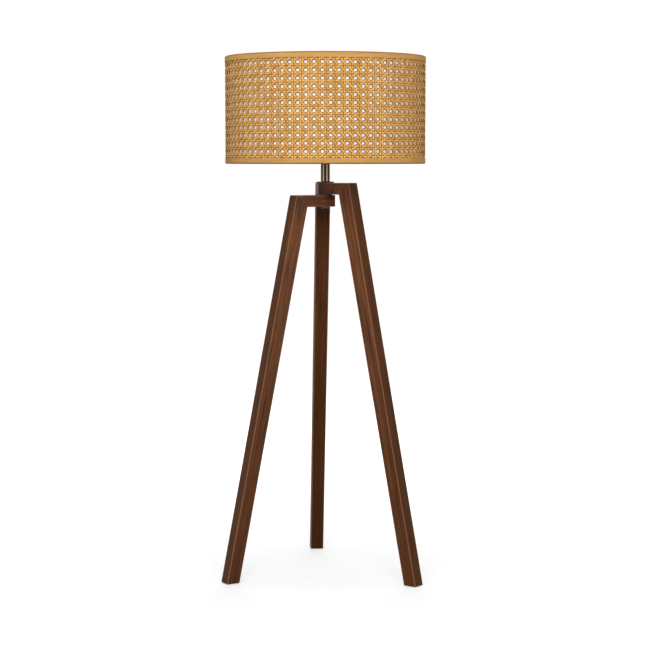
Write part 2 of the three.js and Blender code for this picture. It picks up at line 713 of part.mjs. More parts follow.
/** Where the bolt's axis stands: the footprint's middle, front to back, is y = 0. */
function axisOffset() {
  const footHalfSpan = timber.footWidth / 2 / Math.cos(lean);
  const rearReach = footCircleRadius + footHalfSpan;
  return -(rearReach - shadeRadius) / 2;
}

const lamp = new THREE.Group();
lamp.add(tripodGroup(), stemGroup(), lampholderGroup(), shadeGroup(), bulbGroup());
lamp.position.y = axisOffset();

export default lamp;
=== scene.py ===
"""Rattan floor lamp, modelled and dressed for rendering.

A stained-wood tripod carries a short bronze stem, a screw lampholder with its bulb, and
a drum shade of cane webbing over a white liner. Metres, +Z up, floor at z = 0, front of
the lamp towards -Y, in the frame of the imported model.
"""

from __future__ import annotations

import logging
import math
import random
from collections.abc import Sequence
from dataclasses import dataclass, field, replace
from enum import Enum

import bmesh
import bpy
from mathutils import Euler, Matrix, Vector


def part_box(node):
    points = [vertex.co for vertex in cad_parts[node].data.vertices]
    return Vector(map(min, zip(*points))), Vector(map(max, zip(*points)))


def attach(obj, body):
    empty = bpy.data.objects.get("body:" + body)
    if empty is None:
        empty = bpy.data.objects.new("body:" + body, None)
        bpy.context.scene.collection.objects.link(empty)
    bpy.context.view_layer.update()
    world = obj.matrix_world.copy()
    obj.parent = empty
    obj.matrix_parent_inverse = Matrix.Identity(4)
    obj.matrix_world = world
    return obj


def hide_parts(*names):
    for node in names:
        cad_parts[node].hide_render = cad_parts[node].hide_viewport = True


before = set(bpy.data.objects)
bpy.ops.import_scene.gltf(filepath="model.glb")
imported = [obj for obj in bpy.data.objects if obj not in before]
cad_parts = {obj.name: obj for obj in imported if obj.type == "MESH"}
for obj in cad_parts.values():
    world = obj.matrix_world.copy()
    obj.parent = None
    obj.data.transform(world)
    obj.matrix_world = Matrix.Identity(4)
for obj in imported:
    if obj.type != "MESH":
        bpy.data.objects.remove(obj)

LOG = logging.getLogger("rattan_lamp")
MM = 0.001
FULL_TURN = 2.0 * math.pi
QUARTER_TURN = math.pi / 2
UPWARDS = (0.0, 0.0, 1.0)
UNTURNED = Euler((0.0, 0.0, 0.0))
BLACK = (0.0, 0.0, 0.0)
WHITE = (1.0, 1.0, 1.0)

# Room left between pieces that sit in each other, and the depth that hides a thread's foot
SEAT_GAP = 0.3 * MM
HIDDEN_OVERLAP = 0.2 * MM

# Half widths of a thread's ridge at its foot and crest, as shares of its pitch
THREAD_FOOT = 0.42
THREAD_CREST = 0.1

# Weights that turn a timber's place and half depth into a number of its own
PLACE_WEIGHTS = Vector((7.0, 3.0, 5.0))
DEPTH_WEIGHT = 100.0

# Steps that draw one ring of a rolled metal wall
RING_STEPS = 8

# Vertices merge, and edges vanish, below these lengths
MERGE_LENGTH = 0.002 * MM
VANISHING_LENGTH = 0.001 * MM

# Edges sharper than this are eased, in this many steps
EASED_ANGLE = math.radians(40.0)
EASING_STEPS = 2

Material = bpy.types.Material
Profile = Sequence[tuple[float, float]]
Span = tuple[float, float]
Triple = tuple[float, float, float]
Inputs = dict[str | int, object]


class Body(Enum):
    """The bodies that the pieces ride on."""

    STAND = "stand"
    LEFT_LEG = "left_leg"
    SHADE = "shade"
    SHADE_RING = "shade_ring"
    BULB = "bulb"


class Hand(Enum):
    """Which way a diagonal strand climbs, seen from outside."""

    RISING_RIGHT = 1
    RISING_LEFT = -1


class Rim(Enum):
    """The rims of the shade."""

    BOTTOM = "bottom"
    TOP = "top"


def srgb(red: int, green: int, blue: int) -> Triple:
    """Turns a colour written as 0 to 255 into the linear values that a shader takes."""
    parts = (level / 255.0 for level in (red, green, blue))
    return tuple(part / 12.92 if part <= 0.04045 else ((part + 0.055) / 1.055) ** 2.4 for part in parts)


def shares(steps: int) -> list[float]:
    """Even shares from 0 to 1, both ends included."""
    return [number / steps for number in range(steps + 1)]


# Places taken from the frame


@dataclass(frozen=True)
class Round:
    """The upright cylinder that a round node of the frame fills."""

    x: float
    y: float
    radius: float
    bottom: float
    top: float

    @classmethod
    def of(cls, node: str) -> Round:
        """Measures the node of that name."""
        low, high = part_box(node)
        return cls((low.x + high.x) / 2, (low.y + high.y) / 2, (high.x - low.x) / 2, low.z, high.z)

    @property
    def height(self) -> float:
        """The distance from bottom to top."""
        return self.top - self.bottom

    @property
    def axis(self) -> Vector:
        """A point on the middle line, at the floor."""
        return Vector((self.x, self.y, 0.0))

    def section(self, inner: float) -> Profile:
        """The section of its wall, from an inner radius outwards."""
        return stepped(inner, (self.radius, self.bottom, self.top))


def stepped(inner: float, *tiers: Triple) -> Profile:
    """The section of a ring that is stepped on its outside.

    Args:
        inner: Radius of its bore.
        tiers: Radius, lower and upper height of each tier, from the lowest up.

    Returns:
        The closed section.
    """
    outside = [(radius, level) for radius, *levels in tiers for level in levels]
    return [(inner, tiers[0][1]), *outside, (inner, tiers[-1][2])]


def bolt_bore() -> float:
    """Radius of the holes that the central bolt passes through."""
    return Round.of("threaded_rod").radius + SEAT_GAP


# Shader graphs


class Socket:
    """An output of a shader node that Python's operators work on."""

    def __init__(self, graph: Graph, output: bpy.types.NodeSocket) -> None:
        """Keeps an output and the graph that it lies in."""
        self.graph = graph
        self.output = output

    def __add__(self, other: Socket | float) -> Socket:
        """Sum."""
        return self.graph.math("ADD", self, other)

    def __radd__(self, other: float) -> Socket:
        """Sum with a number on the left."""
        return self.graph.math("ADD", other, self)

    def __sub__(self, other: Socket | float) -> Socket:
        """Difference."""
        return self.graph.math("SUBTRACT", self, other)

    def __rsub__(self, other: float) -> Socket:
        """Difference from a number on the left."""
        return self.graph.math("SUBTRACT", other, self)

    def __mul__(self, other: Socket | float) -> Socket:
        """Product."""
        return self.graph.math("MULTIPLY", self, other)

    def __rmul__(self, other: float) -> Socket:
        """Product with a number on the left."""
        return self.graph.math("MULTIPLY", other, self)

    def __truediv__(self, other: Socket | float) -> Socket:
        """Quotient."""
        return self.graph.math("DIVIDE", self, other)

    def __rtruediv__(self, other: float) -> Socket:
        """Quotient of a number on the left."""
        return self.graph.math("DIVIDE", other, self)

    def __abs__(self) -> Socket:
        """Distance from zero."""
        return self.graph.math("ABSOLUTE", self)


class Graph:
    """The node tree of a material or a world, written as expressions."""

    def __init__(self, owner: Material | bpy.types.World) -> None:
        """Starts an empty tree.

        Args:
            owner: The material or world that the tree belongs to.
        """
        owner.use_nodes = True
        self.owner = owner
        self.tree = owner.node_tree
        self.tree.nodes.clear()

    @classmethod
    def material(cls, name: str) -> Graph:
        """Starts a new material."""
        return cls(bpy.data.materials.new(name))

    def node(self, kind: str, settings: dict[str, object] | None = None, inputs: Inputs | None = None,
             output: str | int = 0) -> Socket:
        """Adds a node.

        Args:
            kind: The node's type.
            settings: Its properties, which are set first.
            inputs: Values or links of its sockets, by name or number.
            output: The output to return, by name or number.

        Returns:
            The chosen output.
        """
        made = self.tree.nodes.new(kind)
        for key, value in (settings or {}).items():
            setattr(made, key, value)
        for key, value in (inputs or {}).items():
            self._feed(self._pick(made.inputs, key), value)
        return Socket(self, self._pick(made.outputs, output))

    @staticmethod
    def _pick(sockets: Sequence[bpy.types.NodeSocket], key: str | int) -> bpy.types.NodeSocket:
        """Finds a socket.

        Args:
            sockets: A node's inputs or outputs.
            key: The socket's number, or a name that several may share.

        Returns:
            The socket of that number, or the one of that name that is in use.
        """
        if isinstance(key, int):
            return sockets[key]
        return next(socket for socket in sockets if socket.name == key and socket.enabled)

    def _feed(self, socket: bpy.types.NodeSocket, value: object) -> None:
        """Links a socket or sets it.

        Args:
            socket: The input.
            value: A link, a number, a colour or a vector.
        """
        if isinstance(value, Socket):
            self.tree.links.new(value.output, socket)
        elif socket.type == "RGBA":
            socket.default_value = (*value, 1.0)
        else:
            socket.default_value = value

    def math(self, operation: str, *values: Socket | float) -> Socket:
        """Adds one Math node."""
        return self.node("ShaderNodeMath", {"operation": operation}, dict(enumerate(values)))

    def vector(self, operation: str, *values: Socket | Triple, output: str = "Vector") -> Socket:
        """Adds one Vector Math node."""
        return self.node("ShaderNodeVectorMath", {"operation": operation}, dict(enumerate(values)), output)

    def smooth(self, value: Socket, low: float, high: float, to_low: float = 0.0,
               to_high: float = 1.0) -> Socket:
        """Maps a value from one range to another with soft ends."""
        return self.node("ShaderNodeMapRange", {"interpolation_type": "SMOOTHSTEP"}, {
            "Value": value, "From Min": low, "From Max": high, "To Min": to_low, "To Max": to_high})

    def mix(self, factor: Socket | float, first: Socket | Triple, second: Socket | Triple) -> Socket:
        """Mixes two colours."""
        return self.node("ShaderNodeMix", {"data_type": "RGBA"},
                         {"Factor": factor, "A": first, "B": second}, "Result")

    def place(self) -> Socket:
        """The point on the piece, in metres."""
        return self.node("ShaderNodeTexCoord", output="Object")

    def local(self, origin: Vector, turn: Euler = UNTURNED) -> Socket:
        """The point in a frame of its own, with an origin and a turn."""
        return self.node("ShaderNodeMapping", {"vector_type": "TEXTURE"}, {
            "Vector": self.place(), "Location": tuple(origin), "Rotation": tuple(turn)})

    def split(self, vector: Socket) -> tuple[Socket, Socket, Socket]:
        """The three parts of a vector."""
        parts = self.node("ShaderNodeSeparateXYZ", inputs={"Vector": vector}).output.node
        return tuple(Socket(self, output) for output in parts.outputs)

    def noise(self, vector: Socket, scale: float = 1.0, detail: float = 2.0,
              roughness: float = 0.5) -> Socket:
        """Cloudy noise from 0 to 1."""
        return self.node("ShaderNodeTexNoise", inputs={
            "Vector": vector, "Scale": scale, "Detail": detail, "Roughness": roughness})

    def streaks(self, vector: Socket, scales: Triple, detail: float = 2.0, roughness: float = 0.5) -> Socket:
        """Noise with a scale of its own in each of the three directions."""
        return self.noise(self.vector("MULTIPLY", vector, scales), 1.0, detail, roughness)

    def bump(self, height: Socket, distance: float, strength: float = 1.0) -> Socket:
        """A normal that a height field has tilted."""
        return self.node("ShaderNodeBump", inputs={
            "Height": height, "Distance": distance, "Strength": strength})

    def reach(self, axis: Vector) -> Socket:
        """Distance from an upright axis."""
        flat = self.vector("MULTIPLY", self.local(axis), (1.0, 1.0, 0.0))
        return self.vector("LENGTH", flat, output="Value")

    def seen(self) -> Socket:
        """1 for rays from the camera, off a gloss or through glass, else 0."""
        rays = [self.node("ShaderNodeLightPath", output=f"Is {kind} Ray")
                for kind in ("Camera", "Glossy", "Transmission")]
        return self.math("MAXIMUM", self.math("MAXIMUM", rays[0], rays[1]), rays[2])

    def end(self, kind: str, surface: Socket) -> None:
        """Adds the output node of that kind."""
        self._feed(self.tree.nodes.new(kind).inputs["Surface"], surface)

    def surface(self, inputs: Inputs) -> Material:
        """Ends the graph in a Principled surface with those sockets."""
        self.end("ShaderNodeOutputMaterial", self.node("ShaderNodeBsdfPrincipled", inputs=inputs))
        return self.owner


# Finishes


@dataclass(frozen=True)
class Mottled:
    """A finish whose colour and gloss vary a little: plastic, plated metal, ceramic, felt."""

    name: str
    colour: Triple
    other: Triple
    roughness: float
    roughness_swing: float = 0.08
    metallic: float = 0.0
    scale: float = 60.0
    spread: Span = (0.35, 0.65)
    relief: float = 0.02 * MM
    relief_scale: float = 900.0

    def build(self) -> Material:
        """Makes the material.

        Returns:
            The finished material.
        """
        graph = Graph.material(self.name)
        place = graph.place()
        cloud = graph.noise(place, self.scale, detail=4.0, roughness=0.6)
        grain = graph.noise(place, self.relief_scale)
        return graph.surface({
            "Base Color": graph.mix(graph.smooth(cloud, *self.spread), self.colour, self.other),
            "Metallic": self.metallic,
            "Roughness": cloud * (2.0 * self.roughness_swing) + (self.roughness - self.roughness_swing),
            "Normal": graph.bump(grain, self.relief),
        })


@dataclass(frozen=True)
class TimberPlace:
    """Where a timber lies: a frame whose Z runs along it and whose X faces out of the tripod.

    A taper is how much each half size loses per metre; the next two give how far up the painted
    shade reaches that darkens the foot and outer face, and how much painted shade darkens the whole timber.
    """

    origin: Vector
    turn: Euler
    half_across: float
    half_deep: float
    taper: float = 0.0
    painted_shade_length: float = 0.0
    depth: float = 0.0

    @property
    def shift(self) -> Triple:
        """Moves the pattern, so that each timber has its own figure."""
        seed = self.origin.dot(PLACE_WEIGHTS) + self.half_deep * DEPTH_WEIGHT
        return seed, seed * 0.5, seed


@dataclass(frozen=True)
class StainedWood:
    """Dark walnut stain on straight-grained timber, lighter along its edges, with painted shade at the foot,
    on the outer face and over whole timbers.
    """

    name: str
    place: TimberPlace
    dark: Triple = srgb(66, 34, 12)
    mid: Triple = srgb(108, 62, 29)
    light: Triple = srgb(132, 80, 42)
    lighter_edge: Triple = srgb(164, 116, 82)
    figure_scales: Triple = (110.0, 110.0, 3.4)
    streak_scales: Triple = (420.0, 420.0, 9.0)
    fibre_scales: Triple = (1500.0, 1500.0, 40.0)
    cloud_scale: float = 5.5
    figure_share: float = 0.38
    streak_share: float = 0.50
    cloud_share: float = 0.12
    mid_span: Span = (0.40, 0.51)
    light_span: Span = (0.50, 0.62)
    pore_span: Span = (0.28, 0.40)
    pore_share: float = 0.6
    # Painted shade at the foot: how much darker the timber grows there
    foot_painted_shade_share: float = 0.55
    # Painted shade on the outer face: its strength, the share of it left at the foot, and the band in which
    # it fades in
    outer_painted_shade_share: float = 0.6
    outer_painted_shade_foot_share: float = 0.35
    outer_painted_shade_band: Span = (-2.0 * MM, -0.2 * MM)
    lighter_edge_share: float = 0.62
    lighter_edge_span: Span = (0.6 * MM, 2.9 * MM)
    ragged: float = 1.6 * MM

    def build(self) -> Material:
        """Makes the material.

        Returns:
            The finished material.
        """
        graph = Graph.material(self.name)
        place = self.place
        local = graph.local(place.origin, place.turn)
        shifted = graph.vector("ADD", local, place.shift)
        figure = graph.streaks(shifted, self.figure_scales, detail=5.0, roughness=0.66)
        streak = graph.streaks(shifted, self.streak_scales, detail=4.0, roughness=0.65)
        fibre = graph.streaks(shifted, self.fibre_scales)
        pores = graph.smooth(fibre, *self.pore_span, 1.0, 0.0) * self.pore_share
        cloud = graph.noise(shifted, self.cloud_scale)
        tone = figure * self.figure_share + streak * self.streak_share + cloud * self.cloud_share
        stain_and_painted_shade = graph.mix(graph.smooth(tone, *self.mid_span), self.dark, self.mid)
        stain_and_painted_shade = graph.mix(graph.smooth(tone, *self.light_span), stain_and_painted_shade, self.light)
        stain_and_painted_shade = graph.mix(pores, stain_and_painted_shade, self.dark)
        out, _, along = graph.split(local)
        if place.painted_shade_length > 0.0:
            # Painted shade: the timber darkens towards its foot
            foot = graph.smooth(along, 0.0, place.painted_shade_length, self.foot_painted_shade_share, 0.0)
            stain_and_painted_shade = graph.mix(foot, stain_and_painted_shade, self.dark)
            # Painted shade: the outer face darkens, less so near the foot
            skin = graph.smooth(out - (place.half_across - along * place.taper), *self.outer_painted_shade_band)
            painted_outer_shade = graph.smooth(along, 0.0, place.painted_shade_length, self.outer_painted_shade_foot_share * self.outer_painted_shade_share,
                                  self.outer_painted_shade_share)
            stain_and_painted_shade = graph.mix(skin * painted_outer_shade, stain_and_painted_shade, self.dark)
        # Painted shade over the whole timber
        if place.depth > 0.0:
            stain_and_painted_shade = graph.mix(place.depth, stain_and_painted_shade, self.dark)
        # Lighter along the long edges of the timber
        lighter_band = self._lighter_edge_band(graph, local, fibre)
        return graph.surface({
            "Base Color": graph.mix(lighter_band * self.lighter_edge_share, stain_and_painted_shade, self.lighter_edge),
            "Roughness": 0.42 + streak * 0.16 + lighter_band * 0.12,
            "Specular IOR Level": 0.05,
            "Normal": graph.bump(fibre - pores, 0.06 * MM, 0.6),
        })

    def _lighter_edge_band(self, graph: Graph, local: Socket, fibre: Socket) -> Socket:
        """How far a point lies in the lighter band along the long edges.

        Args:
            graph: The wood's graph.
            local: The point in the timber's frame.
            fibre: The noise that makes the band's limit uneven.

        Returns:
            0 on the open face to 1 at an edge.
        """
        across, deep, along = graph.split(local)
        narrowing = along * self.place.taper
        room = graph.math("MAXIMUM", (self.place.half_across - narrowing) - abs(across),
                          (self.place.half_deep - narrowing) - abs(deep))
        return graph.smooth(room + (fibre - 0.5) * self.ragged, *self.lighter_edge_span, 1.0, 0.0)


@dataclass(frozen=True)
class Cane:
    """Split cane: tan, fibrous along the strand, with painted shade in brown along its edges and painted
    shade where it lies deep.
    """

    name: str
    half_width: float
    axis: Vector
    sunk: float
    proud: float
    light: Triple = srgb(252, 200, 122)
    mid: Triple = srgb(226, 164, 84)
    # Painted shade along the strand's edges, where strands meet and holes open
    brown: Triple = srgb(94, 48, 8)
    # Painted shade where a strand lies deep, near the liner
    deep: Triple = srgb(154, 92, 28)
    fibre_scales: Triple = (60.0, 2600.0, 1.0)
    patch_scales: Triple = (38.0, 90.0, 1.0)
    strand_shift: float = 9.0
    patch_share: float = 0.55
    tone_share: float = 0.30
    fibre_share: float = 0.15
    light_span: Span = (0.30, 0.68)
    deep_painted_shade_share: float = 0.8
    edge_painted_shade_span: Span = (0.42, 0.82)
    edge_painted_shade_share: float = 0.9

    def build(self) -> Material:
        """Makes the material.

        Returns:
            The finished material.
        """
        graph = Graph.material(self.name)
        strand = graph.node("ShaderNodeUVMap", {"uv_map": "UVMap"})
        tone = graph.node("ShaderNodeAttribute", {"attribute_name": "tone"}, output="Fac")
        along, across, _ = graph.split(strand)
        shifted = graph.node("ShaderNodeCombineXYZ", inputs={
            "X": along, "Y": across, "Z": tone * self.strand_shift})
        fibre = graph.streaks(shifted, self.fibre_scales, roughness=0.6)
        patch = graph.streaks(shifted, self.patch_scales, roughness=0.6)
        shade = patch * self.patch_share + tone * self.tone_share + fibre * self.fibre_share
        colour = graph.mix(graph.smooth(shade, *self.light_span), self.mid, self.light)
        # Painted shade: darker where the strand lies deep
        depth = graph.smooth(graph.reach(self.axis), self.sunk, self.proud, 1.0, 0.0)
        colour = graph.mix(depth * self.deep_painted_shade_share, colour, self.deep)
        # Painted shade: brown along the strand's edges, in the crevices between strands and round the holes
        edge = graph.smooth(abs(across) / self.half_width, *self.edge_painted_shade_span)
        return graph.surface({
            "Base Color": graph.mix(edge * self.edge_painted_shade_share, colour, self.brown),
            "Roughness": 0.50 + fibre * 0.2,
            "Specular IOR Level": 0.05,
            "Normal": graph.bump(fibre, 0.12 * MM, 0.5),
        })


@dataclass(frozen=True)
class EdgeTape:
    """The smooth tan tape folded over a rim, browner where it turns over the edge."""

    name: str
    axis: Vector
    rim: float
    colour: Triple = srgb(214, 165, 100)
    other: Triple = srgb(203, 152, 88)
    brown: Triple = srgb(142, 86, 30)
    cloud_scales: Triple = (14.0, 14.0, 120.0)
    weave_scales: Triple = (500.0, 500.0, 1500.0)
    spread: Span = (0.3, 0.7)
    turned: float = 3.8 * MM
    turned_from: float = 0.55
    turned_share: float = 0.85

    def build(self) -> Material:
        """Makes the material.

        Returns:
            The finished material.
        """
        graph = Graph.material(self.name)
        local = graph.local(self.axis)
        _, _, level = graph.split(local)
        cloud = graph.streaks(local, self.cloud_scales, detail=4.0, roughness=0.6)
        weave = graph.streaks(local, self.weave_scales)
        colour = graph.mix(graph.smooth(cloud, *self.spread), self.colour, self.other)
        fold = graph.smooth(abs(level - self.rim), self.turned_from * self.turned, self.turned, 1.0, 0.0)
        return graph.surface({
            "Base Color": graph.mix(fold * self.turned_share, colour, self.brown),
            "Roughness": 0.62 + weave * 0.12,
            "Specular IOR Level": 0.05,
            "Normal": graph.bump(weave, 0.08 * MM, 0.4),
        })


@dataclass(frozen=True)
class LinerSheet:
    """White laminated liner, whose outer face carries a painted glow so that it shows white through the
    webbing.
    """

    name: str
    wall: Round
    colour: Triple = srgb(248, 246, 241)
    other: Triple = srgb(242, 239, 232)
    inner: Triple = srgb(236, 233, 227)
    # Strength of the painted glow on the outer face
    painted_glow: float = 0.3
    skin: Span = (0.6 * MM, 0.18 * MM)
    cloud_scale: float = 9.0
    grain_scale: float = 2200.0

    def build(self) -> Material:
        """Makes the material.

        Returns:
            The finished material.
        """
        graph = Graph.material(self.name)
        place = graph.place()
        reach = graph.reach(self.wall.axis)
        outside = graph.smooth(reach, *(self.wall.radius - depth for depth in self.skin))
        # Painted glow: the outer face emits a share of its own colour
        lit = tuple(self.painted_glow * part for part in self.colour)
        cloud = graph.noise(place, self.cloud_scale)
        grain = graph.noise(place, self.grain_scale)
        return graph.surface({
            "Base Color": graph.mix(outside, self.inner, graph.mix(cloud, self.colour, self.other)),
            "Roughness": 0.75 + grain * 0.1,
            "Specular IOR Level": 0.1,
            "Emission Color": graph.mix(outside, BLACK, lit),
            "Emission Strength": 1.0,
            "Normal": graph.bump(grain, 0.03 * MM, 0.4),
        })


@dataclass(frozen=True)
class TurnedMetal:
    """Metal turned about an upright axis, with fine marks round it."""

    name: str
    colour: Triple
    other: Triple
    roughness: float
    roughness_swing: float = 0.06
    coat: float = 0.0
    cloud_scale: float = 70.0
    mark_scales: Triple = (30.0, 30.0, 2600.0)

    def build(self) -> Material:
        """Makes the material.

        Returns:
            The finished material.
        """
        graph = Graph.material(self.name)
        place = graph.place()
        cloud = graph.noise(place, self.cloud_scale, detail=3.0)
        marks = graph.streaks(place, self.mark_scales)
        return graph.surface({
            "Base Color": graph.mix(cloud, self.colour, self.other),
            "Metallic": 1.0,
            "Coat Weight": self.coat,
            "Coat Roughness": 0.12,
            "Roughness": (self.roughness - self.roughness_swing) + marks * (2.0 * self.roughness_swing),
            "Normal": graph.bump(marks, 0.01 * MM, 0.5),
        })


@dataclass(frozen=True)
class ClearGlass:
    """Thin clear glass with a faint warm tint."""

    name: str
    tint: Triple = srgb(252, 248, 240)
    wave_scale: float = 45.0

    def build(self) -> Material:
        """Makes the material.

        Returns:
            The finished material.
        """
        graph = Graph.material(self.name)
        wave = graph.noise(graph.place(), self.wave_scale)
        return graph.surface({
            "Base Color": self.tint,
            "Roughness": 0.01 + wave * 0.03,
            "IOR": 1.45,
            "Transmission Weight": 1.0,
            "Normal": graph.bump(wave, 0.05 * MM, 0.2),
        })


@dataclass(frozen=True)
class Phosphor:
    """The yellow coat of a filament, ribbed along its length."""

    name: str
    colour: Triple = srgb(238, 196, 74)
    other: Triple = srgb(222, 168, 44)
    rib_pitch: float = 1.2 * MM

    def build(self) -> Material:
        """Makes the material.

        Returns:
            The finished material.
        """
        graph = Graph.material(self.name)
        _, _, level = graph.split(graph.place())
        ribs = graph.math("SINE", level * (FULL_TURN / self.rib_pitch)) * 0.5 + 0.5
        return graph.surface({
            "Base Color": graph.mix(ribs, self.colour, self.other),
            "Roughness": 0.5 + ribs * 0.1,
            "Normal": graph.bump(ribs, 0.08 * MM, 0.5),
        })


# Mesh making


class Shaper:
    """A bmesh and the few operations that the lamp's pieces are made with."""

    def __init__(self) -> None:
        """Starts an empty bmesh with the layers that the cane's finish reads."""
        self.bm = bmesh.new()
        self.tone = self.bm.verts.layers.float.new("tone")
        self.uv = self.bm.loops.layers.uv.new("UVMap")

    def _outline(self, profile: Profile, axis: Vector) -> list[bmesh.types.BMVert]:
        """Puts a profile's points beside an upright axis."""
        return [self.bm.verts.new((axis.x + radius, axis.y, level)) for radius, level in profile]

    def turn(self, profile: Profile, axis: Vector, steps: int) -> None:
        """Spins a profile about an upright axis.

        Args:
            profile: (radius, height) points. It closes on itself, or starts and ends on the axis.
            axis: A point on the axis.
            steps: How many steps go round.
        """
        verts = self._outline(profile, axis)
        pairs = list(zip(verts, verts[1:]))
        if profile[0][0] > 0.0 or profile[-1][0] > 0.0:
            pairs.append((verts[-1], verts[0]))
        edges = [self.bm.edges.new(pair) for pair in pairs]
        bmesh.ops.spin(
            self.bm, geom=verts + edges, cent=axis, axis=UPWARDS, dvec=(0.0, 0.0, 0.0),
            angle=FULL_TURN, steps=steps, use_merge=True, use_normal_flip=False, use_duplicate=False)
        self.seal()

    def seal(self) -> None:
        """Merges doubles and turns all faces outwards."""
        bmesh.ops.remove_doubles(self.bm, verts=self.bm.verts[:], dist=MERGE_LENGTH)
        bmesh.ops.dissolve_degenerate(self.bm, dist=VANISHING_LENGTH, edges=self.bm.edges[:])
        bmesh.ops.recalc_face_normals(self.bm, faces=self.bm.faces[:])

    def wire(self, points: Sequence[Vector], radius: float, sides: int) -> None:
        """Runs a round wire, closed at both ends.

        Args:
            points: The middle line.
            radius: The wire's radius.
            sides: How many faces go round it.
        """
        rings = []
        last = len(points) - 1
        for number, point in enumerate(points):
            ahead = points[min(number + 1, last)] - points[max(number - 1, 0)]
            turn = ahead.to_track_quat("Z", "Y").to_matrix().to_4x4()
            made = bmesh.ops.create_circle(
                self.bm, cap_ends=number in (0, last), segments=sides, radius=radius,
                matrix=Matrix.Translation(point) @ turn)
            rings.append(list({edge for vert in made["verts"] for edge in vert.link_edges}))
        for first, second in zip(rings, rings[1:]):
            bmesh.ops.bridge_loops(self.bm, edges=first + second)
        self.seal()

    def thread(self, core: Round, crest: float, pitch: float, start: float, turns: float, steps: int) -> None:
        """Winds a ridge round an upright core.

        Args:
            core: The core.
            crest: The ridge's outer radius.
            pitch: How far one turn climbs.
            start: Height of the ridge's middle where it starts.
            turns: How many turns it makes.
            steps: How many steps go round.
        """
        inside = core.radius - HIDDEN_OVERLAP
        foot, tip = THREAD_FOOT * pitch, THREAD_CREST * pitch
        corners = [(inside, start - foot), (crest, start - tip), (crest, start + tip), (inside, start + foot)]
        face = self.bm.faces.new(self._outline(corners, core.axis))
        bmesh.ops.spin(
            self.bm, geom=[face], cent=core.axis, axis=UPWARDS, dvec=(0.0, 0.0, pitch / steps),
            angle=FULL_TURN * turns, steps=round(turns * steps), use_merge=False, use_normal_flip=False,
            use_duplicate=False)
        self.seal()

    def object(self, name: str) -> bpy.types.Object:
        """Ends the bmesh and links it as an object.

        Args:
            name: What the object and its mesh are called.

        Returns:
            The object, shaded smooth.
        """
        mesh = bpy.data.meshes.new(name)
        self.bm.to_mesh(mesh)
        self.bm.free()
        mesh.polygons.foreach_set("use_smooth", [True] * len(mesh.polygons))
        made = bpy.data.objects.new(name, mesh)
        bpy.context.scene.collection.objects.link(made)
        return made


def rolled(place: Round, wall: float, depth: float, rings: int, from_groove: bool) -> Profile:
    """The section of a thin metal wall rolled into rings.

    Args:
        place: The cylinder that it fills.
        wall: Thickness of the metal.
        depth: How deep the grooves are.
        rings: How many rings lie above each other.
        from_groove: Whether it starts in a groove, or else on a crest.

    Returns:
        The closed section.
    """
    sign = -1.0 if from_groove else 1.0
    steps = rings * RING_STEPS
    outside, inside = [], []
    for number in range(steps + 1):
        level = place.bottom + place.height * number / steps
        dip = depth / 2 * (1.0 - sign * math.cos(FULL_TURN * number / RING_STEPS))
        outside.append((place.radius - dip, level))
        inside.append((place.radius - dip - wall, level))
    return [*outside, *reversed(inside)]


@dataclass(frozen=True)
class Stock:
    """What a piece is made of: a material, and a slot name."""

    material: Material
    slot: str


@dataclass(frozen=True)
class Piece:
    """A finished piece: its name, the node it stands for, its stock, body and eased edges."""

    name: str
    node: str
    stock: Stock
    body: Body = Body.STAND
    easing: float = 0.0

    def add(self, shaper: Shaper) -> None:
        """Makes the object, sets it on its body's empty and hides the node that it stands for.

        Args:
            shaper: The piece's shape.
        """
        made = shaper.object(self.name)
        made.data.materials.append(self.stock.material)
        if self.easing > 0.0:
            bevel = made.modifiers.new("eased_edges", "BEVEL")
            bevel.width = self.easing
            bevel.segments = EASING_STEPS
            bevel.limit_method = "ANGLE"
            bevel.angle_limit = EASED_ANGLE
            bevel.harden_normals = True
        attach(made, self.body.value)
        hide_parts(self.node)
        LOG.info("%s: %d faces", self.name, len(made.data.polygons))

    def spin(self, profile: Profile, steps: int) -> None:
        """Makes the piece from one profile, spun about its node's axis.

        Args:
            profile: Its section, as Shaper.turn takes it.
            steps: How many steps go round.
        """
        shaper = Shaper()
        shaper.turn(profile, Round.of(self.node).axis, steps)
        self.add(shaper)


def dress(node: str, material: Material) -> None:
    """Gives a node of the frame its material.

    Args:
        node: The node's name.
        material: What it wears in every slot.
    """
    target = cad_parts[node]
    if not target.material_slots:
        target.data.materials.append(material)
    for slot in target.material_slots:
        slot.material = material
    LOG.info("%s: dressed", node)


# Cane webbing


@dataclass(frozen=True)
class Strip:
    """A flat cane strip before it is woven, six-sided and crowned in section."""

    width: float
    thickness: float
    length: float
    steps: int
    crown_share: float = 0.62
    sides: int = 6

    def lay(self, bm: bmesh.types.BMesh, closed: bool = False) -> list[bmesh.types.BMVert]:
        """Lays the strip along X, its width along Y and its thickness along Z.

        Args:
            bm: The bmesh that it is added to.
            closed: Whether its ends will meet, so that it needs no caps.

        Returns:
            Its vertices.
        """
        uv = bm.loops.layers.uv.active
        first = len(bm.verts)
        made = bmesh.ops.create_cone(
            bm, cap_ends=not closed, segments=self.sides, radius1=0.5, radius2=0.5, depth=self.length)
        verts = made["verts"]
        bmesh.ops.rotate(bm, verts=verts, cent=(0.0, 0.0, 0.0), matrix=Matrix.Rotation(QUARTER_TURN, 3, "Y"))
        flat = math.cos(math.pi / self.sides)
        bmesh.ops.scale(bm, verts=verts, vec=(1.0, self.width, self.thickness / flat))
        crown = [vert for vert in verts if abs(vert.co.z) > self.thickness / 4]
        bmesh.ops.scale(bm, verts=crown, vec=(1.0, 2.0 * self.crown_share, 1.0))
        edges = {edge for vert in verts for edge in vert.link_edges}
        long_edges = [edge for edge in edges if edge.calc_length() > self.length / 2]
        bmesh.ops.subdivide_edges(bm, edges=long_edges, cuts=self.steps - 1, use_grid_fill=True)
        every = list(bm.verts)[first:]
        for face in {face for vert in every for face in vert.link_faces}:
            for loop in face.loops:
                loop[uv].uv = (loop.vert.co.x, loop.vert.co.y)
        return every


